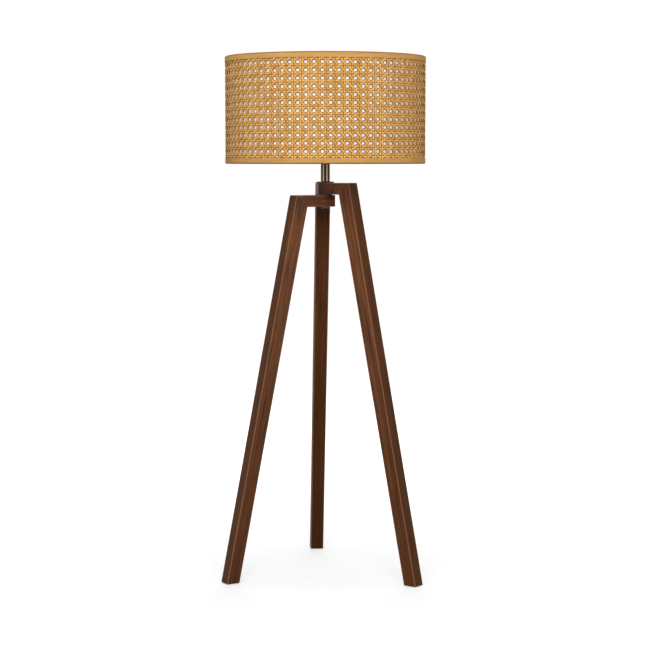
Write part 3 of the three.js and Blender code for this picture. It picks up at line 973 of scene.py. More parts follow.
@dataclass
class CaneWebbing:
    """Six-way cane webbing round the drum: pairs upright and level, and two diagonals."""

    wall: Round
    columns: int = 79
    row_pitch: float = 19.12 * MM
    first_pair: float = 19.1 * MM
    pair_offset: float = 3.1 * MM
    pair_width: float = 5.9 * MM
    diagonal_width: float = 6.1 * MM
    thickness: float = 1.1 * MM
    proud: float = 0.8 * MM
    pair_swing: float = 0.62 * MM
    diagonal_swing: float = 1.12 * MM
    diagonal_press: float = 1.6
    hole_azimuth: float = math.radians(-91.6)
    steps_per_cell: int = 6
    diagonal_steps: int = 8
    ring_join: float = 0.01 * MM
    random_seed: int = 4
    stock: Stock = field(init=False)
    draw: random.Random = field(init=False)

    def __post_init__(self) -> None:
        """Builds the finish and seeds the draw of strand tones."""
        swing = self.diagonal_swing
        cane = Cane("cane", self.pair_width / 2, self.wall.axis, self.radius - swing / 2, self.radius + swing)
        self.stock = Stock(cane.build(), "cane")
        self.draw = random.Random(self.random_seed)

    @property
    def radius(self) -> float:
        """Radius of the middle of the weave."""
        swing = self.diagonal_swing + self.thickness / 2
        return self.wall.radius + self.proud - swing

    @property
    def column_angle(self) -> float:
        """Angle between two upright pairs."""
        return FULL_TURN / self.columns

    @property
    def column_pitch(self) -> float:
        """Distance between two upright pairs round the drum."""
        return self.radius * self.column_angle

    @property
    def first_upright(self) -> float:
        """Azimuth of the first upright pair."""
        return self.hole_azimuth + self.column_angle / 2

    @property
    def pair_level(self) -> float:
        """Height of the lowest level pair whose both strands show."""
        return self.wall.bottom + self.first_pair

    @property
    def middle(self) -> float:
        """Height half way up the wall."""
        return (self.wall.bottom + self.wall.top) / 2

    def build(self) -> None:
        """Weaves the four sets of strands."""
        self._add("uprights", self._uprights())
        self._add("levels", self._levels())
        for hand in Hand:
            self._add(hand.name.lower(), self._diagonals(hand))

    def _add(self, strands: str, shaper: Shaper) -> None:
        """Makes one set of strands a piece."""
        Piece(f"webbing_{strands}", "cane_webbing", self.stock, Body.SHADE).add(shaper)

    def _wrap(self, angle: float, level: float, lift: float) -> Vector:
        """A point on the drum, lifted off the middle of the weave."""
        reach = self.radius + lift
        return Vector((self.wall.x + reach * math.cos(angle), self.wall.y + reach * math.sin(angle), level))

    def _row_phase(self, level: float) -> float:
        """How far a height lies through the weave's rows, as an angle."""
        return FULL_TURN * (level - self.pair_level) / self.row_pitch

    def _uprights(self) -> Shaper:
        """The upright pairs.

        Returns:
            Their shape.
        """
        shaper = Shaper()
        steps = round(self.wall.height / self.row_pitch * self.steps_per_cell)
        strip = Strip(self.pair_width, self.thickness, self.wall.height, steps)
        for side in (-1, 1):
            for vert in strip.lay(shaper.bm):
                along, across, out = vert.co
                level = self.middle + along
                angle = self.first_upright + (side * self.pair_offset - across) / self.radius
                swing = -side * self.pair_swing * math.sin(self._row_phase(level))
                vert.co = self._wrap(angle, level, out + swing)
        self._round_the_drum(shaper)
        return shaper

    def _levels(self) -> Shaper:
        """The level pairs, as closed rings.

        Returns:
            Their shape.
        """
        shaper = Shaper()
        around = FULL_TURN * self.radius
        strip = Strip(self.pair_width, self.thickness, around, self.columns * self.steps_per_cell)
        low, high = self.wall.bottom + self.pair_width / 2, self.wall.top - self.pair_width / 2
        rows = range(-1, math.ceil(self.wall.height / self.row_pitch) + 1)
        for side in (-1, 1):
            shift = side * self.pair_offset
            levels = [self.pair_level + row * self.row_pitch + shift for row in rows]
            levels = [level for level in levels if low <= level <= high]
            ring = strip.lay(shaper.bm, closed=True)
            for vert in ring:
                along, across, out = vert.co
                angle = along / self.radius
                swing = side * self.pair_swing * math.sin(self.columns * (angle - self.first_upright))
                vert.co = self._wrap(angle, levels[0] + across, out + swing)
            bmesh.ops.remove_doubles(shaper.bm, verts=ring, dist=self.ring_join)
            ring = [vert for vert in ring if vert.is_valid]
            raises = [Matrix.Translation((0.0, 0.0, level - levels[0])) for level in levels[1:]]
            self._copy(shaper, ring, raises)
        return shaper

    def _diagonals(self, hand: Hand) -> Shaper:
        """One family of diagonals.

        Args:
            hand: Which way they climb.

        Returns:
            Their shape.
        """
        shaper = Shaper()
        slope = math.atan2(self.row_pitch, self.column_pitch)
        climb, run = math.sin(slope), math.cos(slope) * hand.value
        height = self.wall.height - self.diagonal_width
        steps = round(height / self.row_pitch * self.diagonal_steps)
        strip = Strip(self.diagonal_width, self.thickness, height / climb, steps)
        cells = (self.middle - self.pair_level) / self.row_pitch
        start = self.first_upright + self.column_angle * (0.5 + hand.value * cells)
        for vert in strip.lay(shaper.bm):
            along, across, out = vert.co
            level = self.middle + along * climb + across * run
            angle = start + (along * run - across * climb) / self.radius
            swing = self.diagonal_press * math.cos(self._row_phase(self.middle + along * climb))
            pressed = math.sin(QUARTER_TURN * max(-1.0, min(1.0, swing)))
            vert.co = self._wrap(angle, level, out + hand.value * self.diagonal_swing * pressed)
        self._round_the_drum(shaper)
        return shaper

    def _round_the_drum(self, shaper: Shaper) -> None:
        """Repeats what is there at every column.

        Args:
            shaper: The first column's strands, which the copies join.
        """
        axis = self.wall.axis
        turns = [Matrix.Translation(axis) @ Matrix.Rotation(number * self.column_angle, 4, "Z")
                 @ Matrix.Translation(-axis) for number in range(1, self.columns)]
        self._copy(shaper, shaper.bm.verts[:], turns)

    def _copy(self, shaper: Shaper, verts: list[bmesh.types.BMVert], moves: list[Matrix]) -> None:
        """Copies strands, each copy moved and with a tone of its own.

        Args:
            shaper: The bmesh that they lie in.
            verts: Their vertices.
            moves: Where the copies go.
        """
        bm = shaper.bm
        faces = list({face for vert in verts for face in vert.link_faces})
        edges = list({edge for vert in verts for edge in vert.link_edges})
        self._tint(shaper, verts)
        for move in moves:
            copied = bmesh.ops.duplicate(bm, geom=verts + edges + faces)["geom"]
            new_verts = [item for item in copied if isinstance(item, bmesh.types.BMVert)]
            bmesh.ops.transform(bm, matrix=move, verts=new_verts)
            self._tint(shaper, new_verts)

    def _tint(self, shaper: Shaper, verts: list[bmesh.types.BMVert]) -> None:
        """Draws a tone for some strands.

        Args:
            shaper: The bmesh that they lie in.
            verts: Their vertices.
        """
        tone = self.draw.random()
        for vert in verts:
            vert[shaper.tone] = tone


# The rest of the shade


@dataclass
class ShadeShell:
    """Liner, folded edgings, wire rings and the carrier that holds the shade."""

    white_wire: Stock
    liner_sheet: Stock
    liner_thickness: float = 1.0 * MM
    tape_thickness: float = 0.55 * MM
    tape_lip: float = 2.7 * MM
    tape_past_hoop: float = 1.5 * MM
    fold_radius: float = 3.2 * MM
    fold_steps: int = 6
    wall_steps: int = 240
    wire_sides: int = 10
    washer_thickness: float = 1.6 * MM
    washer_inside_barrel: float = 2.9 * MM
    washer_inside_ring: float = 1.5 * MM
    washer_steps: int = 96
    spokes: int = 3
    first_spoke: float = math.radians(30.0)
    spoke_root: float = 2.0 * MM
    knee: float = 45.0 * MM
    knee_bend: float = 6.0 * MM
    knee_steps: int = 5
    knee_ease: float = 0.9
    foot_bend: float = 5.0 * MM
    foot_rest: float = 4.0 * MM

    def build(self) -> None:
        """Makes the shade's pieces, apart from the webbing."""
        self._liner()
        for rim in Rim:
            self._edging(rim)
        for rim in Rim:
            self._wire_ring(rim)
        self._carrier()

    @staticmethod
    def _hoop_middle(hoop: Round) -> float:
        """Radius of the middle line of a wire ring."""
        return hoop.radius - hoop.height / 2

    def _liner(self) -> None:
        """The white sheet behind the webbing."""
        wall = Round.of("shade_liner")
        Piece("liner_sheet", "shade_liner", self.liner_sheet, Body.SHADE, easing=0.2 * MM).spin(
            wall.section(wall.radius - self.liner_thickness), self.wall_steps)

    def _edging(self, rim: Rim) -> None:
        """One folded tape, an unequal U over the rim.

        Args:
            rim: The rim that it covers.
        """
        node, name = f"{rim.value}_trim", f"{rim.value}_edging"
        tape = Round.of(node)
        hoop = Round.of("bottom_wire_ring")
        inner = 2 * self._hoop_middle(hoop) - hoop.radius - self.tape_past_hoop
        thick, fold = self.tape_thickness, self.fold_radius
        outer = tape.radius
        middle, within = outer - fold, fold - thick
        turns = [QUARTER_TURN * share for share in shares(self.fold_steps)]
        rounded = [(middle + fold * math.sin(turn), fold * (1.0 - math.cos(turn))) for turn in turns]
        hollow = [(middle + within * math.sin(turn), fold - within * math.cos(turn))
                  for turn in reversed(turns)]
        points = [(inner, 0.0), *rounded, (outer, tape.height), (outer - thick, tape.height), *hollow,
                  (inner + thick, thick), (inner + thick, self.tape_lip), (inner, self.tape_lip)]
        edge, way = (tape.top, -1.0) if rim is Rim.TOP else (tape.bottom, 1.0)
        stock = Stock(EdgeTape(name, tape.axis, edge).build(), "trim")
        Piece(name, node, stock, Body.SHADE, easing=0.15 * MM).spin(
            [(radius, edge + way * level) for radius, level in points], self.wall_steps)

    def _wire_ring(self, rim: Rim) -> None:
        """One closed wire ring.

        Args:
            rim: The rim that it lies in.
        """
        node = f"{rim.value}_wire_ring"
        hoop = Round.of(node)
        wire = hoop.height / 2
        middle, level = self._hoop_middle(hoop), (hoop.bottom + hoop.top) / 2
        angles = [FULL_TURN * share for share in shares(self.wire_sides)[:-1]]
        profile = [(middle + wire * math.cos(angle), level + wire * math.sin(angle)) for angle in angles]
        Piece(f"{rim.value}_hoop", node, self.white_wire, Body.SHADE).spin(profile, self.wall_steps)

    def _carrier(self) -> None:
        """The washer on the lampholder and its three wire spokes."""
        ring = Round.of("shade_ring")
        top = Round.of("shade_carrier").top
        washer = replace(ring, radius=ring.radius - self.washer_inside_ring,
                         bottom=top - self.washer_thickness, top=top)
        inner = Round.of("lampholder_barrel").radius - self.washer_inside_barrel
        shaper = Shaper()
        shaper.turn(washer.section(inner), washer.axis, self.washer_steps)
        for number in range(self.spokes):
            self._spoke(shaper, washer, self.first_spoke + number * FULL_TURN / self.spokes)
        Piece("carrier_frame", "shade_carrier", self.white_wire, Body.SHADE, easing=0.2 * MM).add(shaper)

    def _spoke(self, shaper: Shaper, washer: Round, azimuth: float) -> None:
        """One spoke: level out of the washer, down to the ring, and flat on it.

        Args:
            shaper: The carrier's bmesh.
            washer: The washer that it starts in.
            azimuth: The direction in which it runs.
        """
        hoop = Round.of("bottom_wire_ring")
        wire = hoop.height / 2
        level, end_level = washer.top - wire, hoop.top + wire
        end, knee = self._hoop_middle(hoop), self.knee
        foot = end - knee / 2
        fall = (end_level - level) / (foot - knee)
        bend = [(knee + self.knee_bend * share,
                 level + fall * self.knee_bend * max(share, 0.0) * self.knee_ease)
                for share in (2.0 * even - 1.0 for even in shares(2 * self.knee_steps)[1:])]
        route = [(washer.radius - self.spoke_root, level), (knee - self.knee_bend, level), *bend,
                 (foot - self.foot_bend, end_level - fall * self.foot_bend),
                 (foot + self.foot_rest, end_level), (end, end_level)]
        direction = Vector((math.cos(azimuth), math.sin(azimuth), 0.0))
        points = [hoop.axis + direction * reach + Vector((0.0, 0.0, height)) for reach, height in route]
        shaper.wire(points, wire, self.wire_sides)


# Tripod


@dataclass(frozen=True)
class Leg:
    """One leg of the tripod: its side, azimuth and body, and how much painted shade darkens its timber."""

    side: str
    azimuth: float
    body: Body
    depth: float = 0.0

    @property
    def outwards(self) -> Vector:
        """The level direction in which the leg points."""
        return Vector((math.cos(self.azimuth), math.sin(self.azimuth), 0.0))

    def turn(self, lean: float) -> Euler:
        """Turns Z to lie along a timber of the leg that leans so far outwards."""
        return (Matrix.Rotation(self.azimuth, 3, "Z") @ Matrix.Rotation(lean, 3, "Y")).to_euler()


@dataclass
class Tripod:
    """The three legs: timber of the frame in stained wood, felt pads, hidden dowels."""

    felt: Stock
    dowel_wood: Material
    legs: tuple[Leg, ...] = (
        Leg("right", math.radians(323.0), Body.STAND),
        # The rear leg and its arm sit in painted shade over their whole timber
        Leg("rear", math.radians(95.0), Body.STAND, 0.6),
        Leg("left", math.radians(210.0), Body.LEFT_LEG),
    )
    arm_half_width: float = 18.0 * MM
    foot_half_width: float = 16.85 * MM
    foot_circle: float = 272.0 * MM
    top_circle: float = 66.8 * MM
    top_circle_height: float = 987.5 * MM
    # How far up each post the painted shade of its foot and outer face reaches
    painted_shade_length: float = 850.0 * MM
    pad_steps: int = 48

    @property
    def lean(self) -> float:
        """How far a post leans in from upright."""
        return math.atan((self.foot_circle - self.top_circle) / self.top_circle_height)

    def build(self) -> None:
        """Dresses the timber and makes the pads."""
        for leg in self.legs:
            self._dress_post(leg)
            self._dress_arm(leg)
            for number in (1, 2):
                dress(f"{leg.side}_dowel_{number}", self.dowel_wood)
            self._pad(leg)

    def _dress_post(self, leg: Leg) -> None:
        """Stained wood along a post.

        Args:
            leg: The post's leg.
        """
        foot = Round.of("stem_tube").axis + leg.outwards * self.foot_circle
        length = self.top_circle_height / math.cos(self.lean)
        taper = -(self.arm_half_width - self.foot_half_width) / length
        place = TimberPlace(foot, leg.turn(-self.lean), self.foot_half_width, self.foot_half_width, taper,
                            self.painted_shade_length, leg.depth)
        dress(f"{leg.side}_post", StainedWood(f"stained_{leg.side}_post", place).build())

    def _dress_arm(self, leg: Leg) -> None:
        """Stained wood along an arm.

        Args:
            leg: The arm's leg.
        """
        low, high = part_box(f"{leg.side}_arm")
        middle = Round.of("stem_tube").axis + Vector((0.0, 0.0, (low.z + high.z) / 2))
        place = TimberPlace(middle, leg.turn(QUARTER_TURN), (high.z - low.z) / 2, self.arm_half_width,
                            depth=leg.depth)
        dress(f"{leg.side}_arm", StainedWood(f"stained_{leg.side}_arm", place).build())

    def _pad(self, leg: Leg) -> None:
        """The felt pad under a post.

        Args:
            leg: The post's leg.
        """
        node = f"{leg.side}_foot_pad"
        pad = Round.of(node)
        Piece(f"{leg.side}_felt", node, self.felt, leg.body, easing=0.4 * MM).spin(
            pad.section(0.0), self.pad_steps)


# Bolt and stem


@dataclass
class StemStack:
    """What stands on the central bolt, from the cord outlet up to the stem's collar."""

    zinc: Stock
    bronze: Stock
    black_metal: Stock
    black_plastic: Stock
    fibre: Stock
    rod_wall: float = 1.4 * MM
    rod_thread_depth: float = 0.45 * MM
    rod_pitch: float = 1.0 * MM
    rod_steps: int = 32
    rod_thread_steps: int = 16
    outlet_hole: float = 3.4 * MM
    outlet_ease: float = 0.8 * MM
    outlet_floor: float = 1.0 * MM
    flange_thickness: float = 2.5 * MM
    tube_wall: float = 1.2 * MM
    steps: int = 96

    def build(self) -> None:
        """Makes the bolt's pieces."""
        self._bolt()
        self._washer("swivel_washer", "swivel_disc", self.fibre)
        self._washer("nut_washer", "nut_disc", self.zinc)
        dress("clamp_nut", self.zinc.material)
        self._outlet()
        self._flange()
        self._tube()
        self._collar()

    def _bolt(self) -> None:
        """The hollow bolt with its running thread."""
        rod = Round.of("threaded_rod")
        core = replace(rod, radius=rod.radius - self.rod_thread_depth)
        pitch = self.rod_pitch
        shaper = Shaper()
        shaper.turn(core.section(rod.radius - self.rod_wall), core.axis, self.rod_steps)
        shaper.thread(core, rod.radius, pitch, rod.bottom + pitch, (rod.height - 2 * pitch) / pitch,
                      self.rod_thread_steps)
        Piece("hollow_bolt", "threaded_rod", self.zinc).add(shaper)

    def _washer(self, node: str, name: str, stock: Stock) -> None:
        """A flat washer on the bolt.

        Args:
            node: The node that it stands for.
            name: What the piece is called.
            stock: What it is made of.
        """
        disc = Round.of(node)
        Piece(name, node, stock, easing=0.15 * MM).spin(
            disc.section(bolt_bore()), self.steps)

    def _outlet(self) -> None:
        """The plastic ring that closes the bolt's lower end."""
        ring = Round.of("cord_outlet")
        bore, hole, ease = bolt_bore(), self.outlet_hole, self.outlet_ease
        floor = ring.bottom + self.outlet_floor
        Piece("outlet_ring", "cord_outlet", self.black_plastic, easing=0.3 * MM).spin([
            (hole, ring.bottom), (ring.radius - ease, ring.bottom), (ring.radius, ring.bottom + ease),
            (ring.radius, ring.top), (bore, ring.top), (bore, floor), (hole, floor),
        ], self.steps)

    def _flange(self) -> None:
        """The black disc that spreads the stem's load on the hub."""
        disc = Round.of("stem_flange")
        bore, boss = bolt_bore(), Round.of("stem_tube").radius - self.tube_wall - SEAT_GAP
        rim = disc.bottom + self.flange_thickness
        Piece("flange_disc", "stem_flange", self.black_metal, easing=0.6 * MM).spin(
            stepped(bore, (disc.radius, disc.bottom, rim), (boss, rim, disc.top)), self.steps)

    def _tube(self) -> None:
        """The bronze tube between hub and lampholder."""
        tube = Round.of("stem_tube")
        Piece("stem_sleeve", "stem_tube", self.bronze, easing=0.3 * MM).spin(
            tube.section(tube.radius - self.tube_wall), self.steps)

    def _collar(self) -> None:
        """The collar on top of the tube, with a spigot inside it."""
        collar = Round.of("stem_collar")
        bore, spigot = bolt_bore(), collar.radius - self.tube_wall - SEAT_GAP
        seat = Round.of("stem_tube").top + SEAT_GAP
        Piece("stem_cap", "stem_collar", self.bronze, easing=0.5 * MM).spin(
            stepped(bore, (spigot, collar.bottom, seat), (collar.radius, seat, collar.top)), self.steps)


# Lampholder


@dataclass
class Lampholder:
    """The screw lampholder and the ring that clamps the shade on it."""

    black_plastic: Stock
    ceramic: Stock
    brass: Stock
    steps: int = 96
    cap_neck: float = 12.0 * MM
    cap_wall: float = 2.2 * MM
    cap_steps: int = 6
    shoulder_height: float = 16.0 * MM
    shoulder_thickness: float = 2.0 * MM
    shoulder_reach: float = 3.0 * MM
    barrel_wall: float = 3.0 * MM
    crest_inset: float = 3.5 * MM
    thread_depth: float = 0.8 * MM
    thread_pitch: float = 4.0 * MM
    thread_margin: float = 0.6
    thread_steps: int = 48
    insert_post: float = 9.0 * MM
    insert_post_height: float = 2.5 * MM
    shell_wall: float = 0.5 * MM
    shell_groove: float = 0.6 * MM
    shell_rings: int = 5
    ring_inset: float = 2.9 * MM
    ring_flange: float = 2.0 * MM
    ring_flange_reach: float = 3.0 * MM
    ring_grips: int = 20
    grip_depth: float = 0.9 * MM
    grip_margin: float = 0.1 * MM
    grip_steps: int = 8

    def build(self) -> None:
        """Makes the lampholder's pieces."""
        self._cap()
        self._barrel()
        self._insert()
        self._shell()
        dress("centre_contact", self.brass.material)
        self._shade_ring()

    def _cap(self) -> None:
        """The bell-shaped cap under the barrel."""
        cap = Round.of("lampholder_cap")
        bore, neck, wall = bolt_bore(), self.cap_neck, self.cap_wall
        inner, swell = cap.radius - wall, cap.height / 2
        floor = cap.bottom + 2 * wall
        turns = [QUARTER_TURN * share for share in shares(self.cap_steps)]
        curve = [(neck + (cap.radius - neck) * math.sin(turn), cap.bottom + swell * (1.0 - math.cos(turn)))
                 for turn in turns]
        Piece("holder_cap", "lampholder_cap", self.black_plastic, easing=0.3 * MM).spin([
            (bore, cap.bottom), *curve, (cap.radius, cap.top), (inner, cap.top), (inner, cap.bottom + swell),
            (neck, floor), (bore + wall, floor), (bore, floor),
        ], self.steps)

    def _barrel(self) -> None:
        """The barrel with its shoulder and outside thread."""
        barrel = Round.of("lampholder_barrel")
        skirt, crest = barrel.radius - self.shoulder_reach, barrel.radius - self.crest_inset
        core = replace(barrel, radius=crest - self.thread_depth)
        inner = crest - self.barrel_wall
        shoulder = barrel.bottom + self.shoulder_height
        ledge = shoulder - self.shoulder_thickness
        pitch = self.thread_pitch
        shaper = Shaper()
        shaper.turn(stepped(
            inner, (skirt, barrel.bottom, ledge), (barrel.radius, ledge, shoulder),
            (core.radius, shoulder, barrel.top)), barrel.axis, self.steps)
        margin = self.thread_margin * pitch
        turns = (barrel.top - shoulder - 2 * margin) / pitch
        shaper.thread(core, crest, pitch, shoulder + margin, turns, self.thread_steps)
        Piece("holder_barrel", "lampholder_barrel", self.black_plastic, easing=0.25 * MM).add(shaper)

    def _insert(self) -> None:
        """The ceramic floor of the barrel."""
        insert = Round.of("lampholder_insert")
        floor, post = insert.top - self.insert_post_height, self.insert_post
        Piece("holder_insert", "lampholder_insert", self.ceramic, easing=0.4 * MM).spin(
            stepped(0.0, (insert.radius, insert.bottom, floor), (post, floor, insert.top)), self.steps)

    def _shell(self) -> None:
        """The rolled brass shell that takes the bulb's cap."""
        shell = Round.of("lampholder_shell")
        profile = rolled(shell, self.shell_wall, self.shell_groove, self.shell_rings, from_groove=False)
        Piece("holder_shell", "lampholder_shell", self.brass).spin(profile, self.steps)

    def _shade_ring(self) -> None:
        """The ring nut over the shade's washer, with grips round it."""
        ring = Round.of("shade_ring")
        inner = Round.of("lampholder_barrel").radius - self.ring_inset
        flange_top = ring.bottom + self.ring_flange
        grip = ring.radius - self.ring_flange_reach
        shaper = Shaper()
        shaper.turn(stepped(inner, (ring.radius, ring.bottom, flange_top), (grip, flange_top, ring.top)),
                    ring.axis, self.ring_grips * self.grip_steps)
        for vert in shaper.bm.verts:
            offset = vert.co - ring.axis
            reach = offset.xy.length
            if abs(reach - grip) < self.grip_margin:
                turn = math.cos(self.ring_grips * math.atan2(offset.y, offset.x))
                shrink = 1.0 - max(turn, 0.0) * self.grip_depth / reach
                vert.co.x = ring.x + offset.x * shrink
                vert.co.y = ring.y + offset.y * shrink
        Piece("clamp_ring", "shade_ring", self.black_plastic, Body.SHADE_RING, easing=0.3 * MM).add(shaper)


# Bulb


@dataclass
class Bulb:
    """A clear tubular bulb with four filament rods on a glass stem."""

    glass: Stock
    metal: Stock
    black: Stock
    filament: Stock
    steps: int = 96
    glass_wall: float = 1.0 * MM
    neck: float = 11.6 * MM
    neck_length: float = 10.0 * MM
    shoulder: float = 10.0 * MM
    shoulder_steps: int = 12
    crown_steps: int = 16
    cap_wall: float = 0.35 * MM
    cap_groove: float = 0.6 * MM
    cap_rings: int = 5
    stem_radius: float = 3.0 * MM
    stem_foot: float = 1.0 * MM
    stem_flare_steps: int = 8
    stem_crown_steps: int = 6
    stem_steps: int = 48
    filaments: int = 4
    filament_foot: float = 4.0 * MM
    filament_head: float = 7.0 * MM
    filament_inset: float = 0.4 * MM
    filament_stations: int = 12
    filament_sides: int = 10
    filament_radius: float = 0.7 * MM

    def build(self) -> None:
        """Makes the bulb's pieces."""
        self._envelope()
        self._cap()
        self._insulator()
        self._stem()
        self._filaments()

    def _outline(self, envelope: Round, inset: float) -> list[tuple[float, float]]:
        """The tube from its neck up over the crown.

        Args:
            envelope: The space of the glass.
            inset: How far the line lies inside the outer face.

        Returns:
            Its points, the last one on the axis.
        """
        neck, radius = self.neck - inset, envelope.radius - inset
        neck_top = envelope.bottom + self.neck_length
        crown = envelope.top - envelope.radius
        points = [(neck, envelope.bottom)]
        for share in shares(self.shoulder_steps):
            swell = (1.0 - math.cos(math.pi * share)) / 2
            points.append((neck + (radius - neck) * swell, neck_top + self.shoulder * share))
        for share in shares(self.crown_steps)[:-1]:
            angle = QUARTER_TURN * share
            points.append((radius * math.cos(angle), crown + radius * math.sin(angle)))
        return [*points, (0.0, crown + radius)]

    def _envelope(self) -> None:
        """The glass envelope, a wall with an open neck."""
        envelope = Round.of("bulb_envelope")
        profile = [*reversed(self._outline(envelope, self.glass_wall)), *self._outline(envelope, 0.0)]
        Piece("glass_envelope", "bulb_envelope", self.glass, Body.BULB).spin(profile, self.steps)

    def _cap(self) -> None:
        """The rolled screw cap."""
        cap = Round.of("bulb_cap")
        profile = rolled(cap, self.cap_wall, self.cap_groove, self.cap_rings, from_groove=True)
        Piece("screw_cap", "bulb_cap", self.metal, Body.BULB).spin(profile, self.steps)

    def _insulator(self) -> None:
        """The black glass under the cap and the solder tip below it."""
        ring = Round.of("bulb_insulator")
        tip = Round.of("bulb_tip")
        Piece("cap_insulator", "bulb_insulator", self.black, Body.BULB, easing=0.3 * MM).spin(
            [(0.0, ring.bottom), (tip.radius, ring.bottom), (ring.radius, ring.top), (0.0, ring.top)],
            self.steps)
        Piece("solder_tip", "bulb_tip", self.metal, Body.BULB, easing=0.4 * MM).spin(
            [(0.0, tip.bottom), (tip.radius / 2, tip.bottom), (tip.radius, tip.top), (0.0, tip.top)],
            self.steps)

    def _stem(self) -> None:
        """The glass stem that carries the filaments."""
        stem = Round.of("bulb_stem")
        slim, flare = self.stem_radius, stem.radius
        rise = Round.of("bulb_cap").height / 2
        curve = [(slim + (flare - slim) * (1.0 - share) ** 2, stem.bottom + self.stem_foot + rise * share)
                 for share in shares(self.stem_flare_steps)]
        angles = [QUARTER_TURN * share for share in shares(self.stem_crown_steps)[:-1]]
        crown = [(slim * math.cos(angle), stem.top - slim + slim * math.sin(angle)) for angle in angles]
        Piece("glass_stem", "bulb_stem", self.glass, Body.BULB).spin(
            [(0.0, stem.bottom), (flare, stem.bottom), *curve, *crown, (0.0, stem.top)],
            self.stem_steps)

    def _filaments(self) -> None:
        """The filament rods, leaning a little outwards."""
        axis = Round.of("bulb_stem").axis
        for number in range(self.filaments):
            node = f"bulb_filament_{number + 1}"
            low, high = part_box(node)
            azimuth = number * FULL_TURN / self.filaments
            out = Vector((math.cos(azimuth), math.sin(azimuth), 0.0))
            foot = axis + out * self.filament_foot + Vector((0.0, 0.0, low.z + self.filament_inset))
            head = axis + out * self.filament_head + Vector((0.0, 0.0, high.z - self.filament_inset))
            shaper = Shaper()
            shaper.wire([foot.lerp(head, share) for share in shares(self.filament_stations)],
                        self.filament_radius, self.filament_sides)
            Piece(f"filament_rod_{number + 1}", node, self.filament, Body.BULB).add(shaper)


# Studio


class Unlit(Enum):
    """What a softbox leaves unlit on the surfaces that it faces."""

    NOTHING = "nothing"
    COLOUR = "colour"
    GLOSS = "gloss"


@dataclass(frozen=True)
class Softbox:
    """A rectangular lamp aimed at the middle of the object."""

    name: str
    place: Triple
    size: Span
    power: float
    leaves: Unlit = Unlit.NOTHING

    def hang(self, aim: Vector) -> None:
        """Makes the lamp.

        Args:
            aim: The point that it faces.
        """
        light = bpy.data.lights.new(self.name, "AREA")
        light.shape = "RECTANGLE"
        light.size, light.size_y = self.size
        light.energy = self.power
        lamp = bpy.data.objects.new(self.name, light)
        lamp.location = self.place
        lamp.rotation_euler = (aim - Vector(self.place)).to_track_quat("-Z", "Y").to_euler()
        lamp.visible_diffuse = self.leaves is not Unlit.COLOUR
        lamp.visible_glossy = self.leaves is not Unlit.GLOSS
        bpy.context.scene.collection.objects.link(lamp)


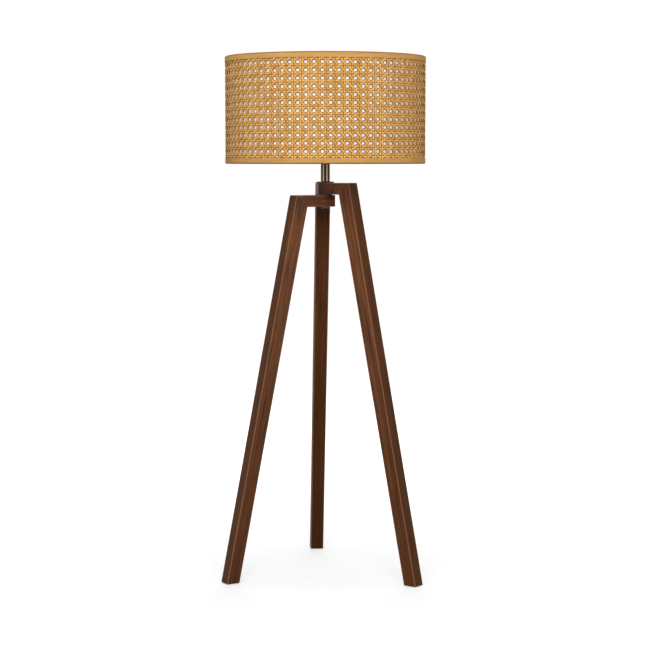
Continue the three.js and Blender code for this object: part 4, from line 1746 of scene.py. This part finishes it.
@dataclass
class Studio:
    """White surround, floor, lamps and the camera of the reference view."""

    focal_length: float = 99.7
    sensor: float = 36.0
    eye: Triple = (-0.0008, -4.5396, 1.046)
    pitch_down: float = math.radians(5.26)
    aim: Triple = (0.0, 0.0, 0.85)
    ambient: float = 0.19
    floor_glow: float = 0.56
    floor_base: float = 0.42
    far_glow: float = 1.0
    glow_span: Span = (0.45, 2.0)
    floor_middle: Triple = (0.0, -0.35, 0.0)
    floor_half: float = 30.0
    floor_drop: float = 0.2 * MM
    softboxes: tuple[Softbox, ...] = (
        Softbox("key_softbox", (-0.08, -3.05, 2.65), (2.4, 2.0), 96.0),
        Softbox("left_strip", (-1.9, -1.6, 1.1), (0.8, 1.8), 95.0, Unlit.COLOUR),
        Softbox("right_strip", (1.6, -1.8, 1.1), (0.8, 1.8), 95.0, Unlit.COLOUR),
        Softbox("left_fill", (-1.35, -0.3, 1.45), (0.5, 0.5), 1.9, Unlit.GLOSS),
        Softbox("right_fill", (1.35, -0.3, 1.45), (0.5, 0.5), 1.9, Unlit.GLOSS),
        Softbox("back_softbox", (0.1, 3.0, 2.35), (2.4, 1.6), 62.0, Unlit.GLOSS),
        Softbox("overhead", (0.0, 0.0, 2.9), (1.2, 1.2), 25.0, Unlit.GLOSS),
    )

    def build(self) -> None:
        """Sets up everything round the lamp."""
        bpy.context.scene.view_settings.view_transform = "Standard"
        self._camera()
        self._world()
        self._floor()
        for softbox in self.softboxes:
            softbox.hang(Vector(self.aim))

    def _camera(self) -> None:
        """The camera, level across and tipped a little down."""
        lens = bpy.data.cameras.new("camera")
        lens.lens = self.focal_length
        lens.sensor_width = self.sensor
        camera = bpy.data.objects.new("camera", lens)
        camera.location = self.eye
        camera.rotation_euler = (QUARTER_TURN - self.pitch_down, 0.0, 0.0)
        bpy.context.scene.collection.objects.link(camera)
        bpy.context.scene.camera = camera

    def _world(self) -> None:
        """White to the eye and in reflections, softer as a light."""
        world = bpy.data.worlds.new("studio")
        bpy.context.scene.world = world
        graph = Graph(world)
        strength = graph.seen() * (1.0 - self.ambient) + self.ambient
        graph.end("ShaderNodeOutputWorld", graph.node(
            "ShaderNodeBackground", inputs={"Color": WHITE, "Strength": strength}))

    def _floor(self) -> None:
        """A plain white floor that keeps the lamp's soft shadow and fades into the surround."""
        shaper = Shaper()
        bmesh.ops.create_grid(shaper.bm, x_segments=1, y_segments=1, size=self.floor_half)
        bmesh.ops.translate(shaper.bm, verts=shaper.bm.verts[:], vec=(0.0, 0.0, -self.floor_drop))
        floor = shaper.object("studio_floor")
        graph = Graph.material("studio_floor")
        away = graph.smooth(graph.reach(Vector(self.floor_middle)), *self.glow_span)
        glow = graph.seen() * (away * (self.far_glow - self.floor_glow) + self.floor_glow)
        floor.data.materials.append(graph.surface({
            "Base Color": (self.floor_base,) * 3,
            "Roughness": 0.9,
            "Specular IOR Level": 0.0,
            "Emission Color": graph.mix(glow, BLACK, WHITE),
            "Emission Strength": 1.0,
        }))


def main() -> None:
    """Builds the studio and the lamp, piece by piece."""
    logging.basicConfig(level=logging.INFO, format="%(message)s")
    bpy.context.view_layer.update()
    Studio().build()

    zinc = Mottled("zinc_plate", srgb(176, 178, 180), srgb(150, 152, 156), 0.34, metallic=1.0).build()
    bronze = TurnedMetal("dark_bronze", srgb(54, 39, 27), srgb(42, 30, 21), 0.20, coat=0.16).build()
    black_metal = Mottled("black_metal", srgb(30, 28, 27), srgb(20, 19, 18), 0.42, metallic=0.6).build()
    black_plastic = Stock(
        Mottled("black_plastic", srgb(24, 24, 24), srgb(17, 17, 17), 0.55).build(), "black_plastic")
    ceramic = Mottled("ceramic", srgb(238, 234, 224), srgb(226, 221, 208), 0.35).build()
    brass = TurnedMetal("brass", srgb(198, 160, 84), srgb(172, 132, 62), 0.3).build()
    fibre = Mottled("fibre_washer", srgb(74, 42, 30), srgb(58, 32, 24), 0.7, scale=400.0).build()
    felt = Mottled("felt", srgb(48, 42, 38), srgb(34, 30, 28), 0.92, scale=500.0, relief=0.2 * MM).build()
    dowel_wood = Mottled("beech_dowel", srgb(196, 154, 106), srgb(176, 132, 86), 0.7, scale=180.0).build()
    white_wire = Mottled("white_wire", srgb(240, 238, 233), srgb(230, 227, 220), 0.42).build()

    CaneWebbing(Round.of("cane_webbing")).build()
    liner_sheet = LinerSheet("liner_sheet", Round.of("shade_liner")).build()
    ShadeShell(Stock(white_wire, "white_wire"), Stock(liner_sheet, "liner")).build()
    Tripod(Stock(felt, "felt"), dowel_wood).build()
    StemStack(Stock(zinc, "zinc"), Stock(bronze, "bronze"), Stock(black_metal, "black_metal"), black_plastic,
              Stock(fibre, "fibre")).build()
    Lampholder(black_plastic, Stock(ceramic, "ceramic"), Stock(brass, "brass")).build()
    Bulb(Stock(ClearGlass("bulb_glass").build(), "bulb_glass"), Stock(zinc, "bulb_metal"), black_plastic,
         Stock(Phosphor("filament").build(), "filament")).build()


if __name__ == "__main__":
    main()
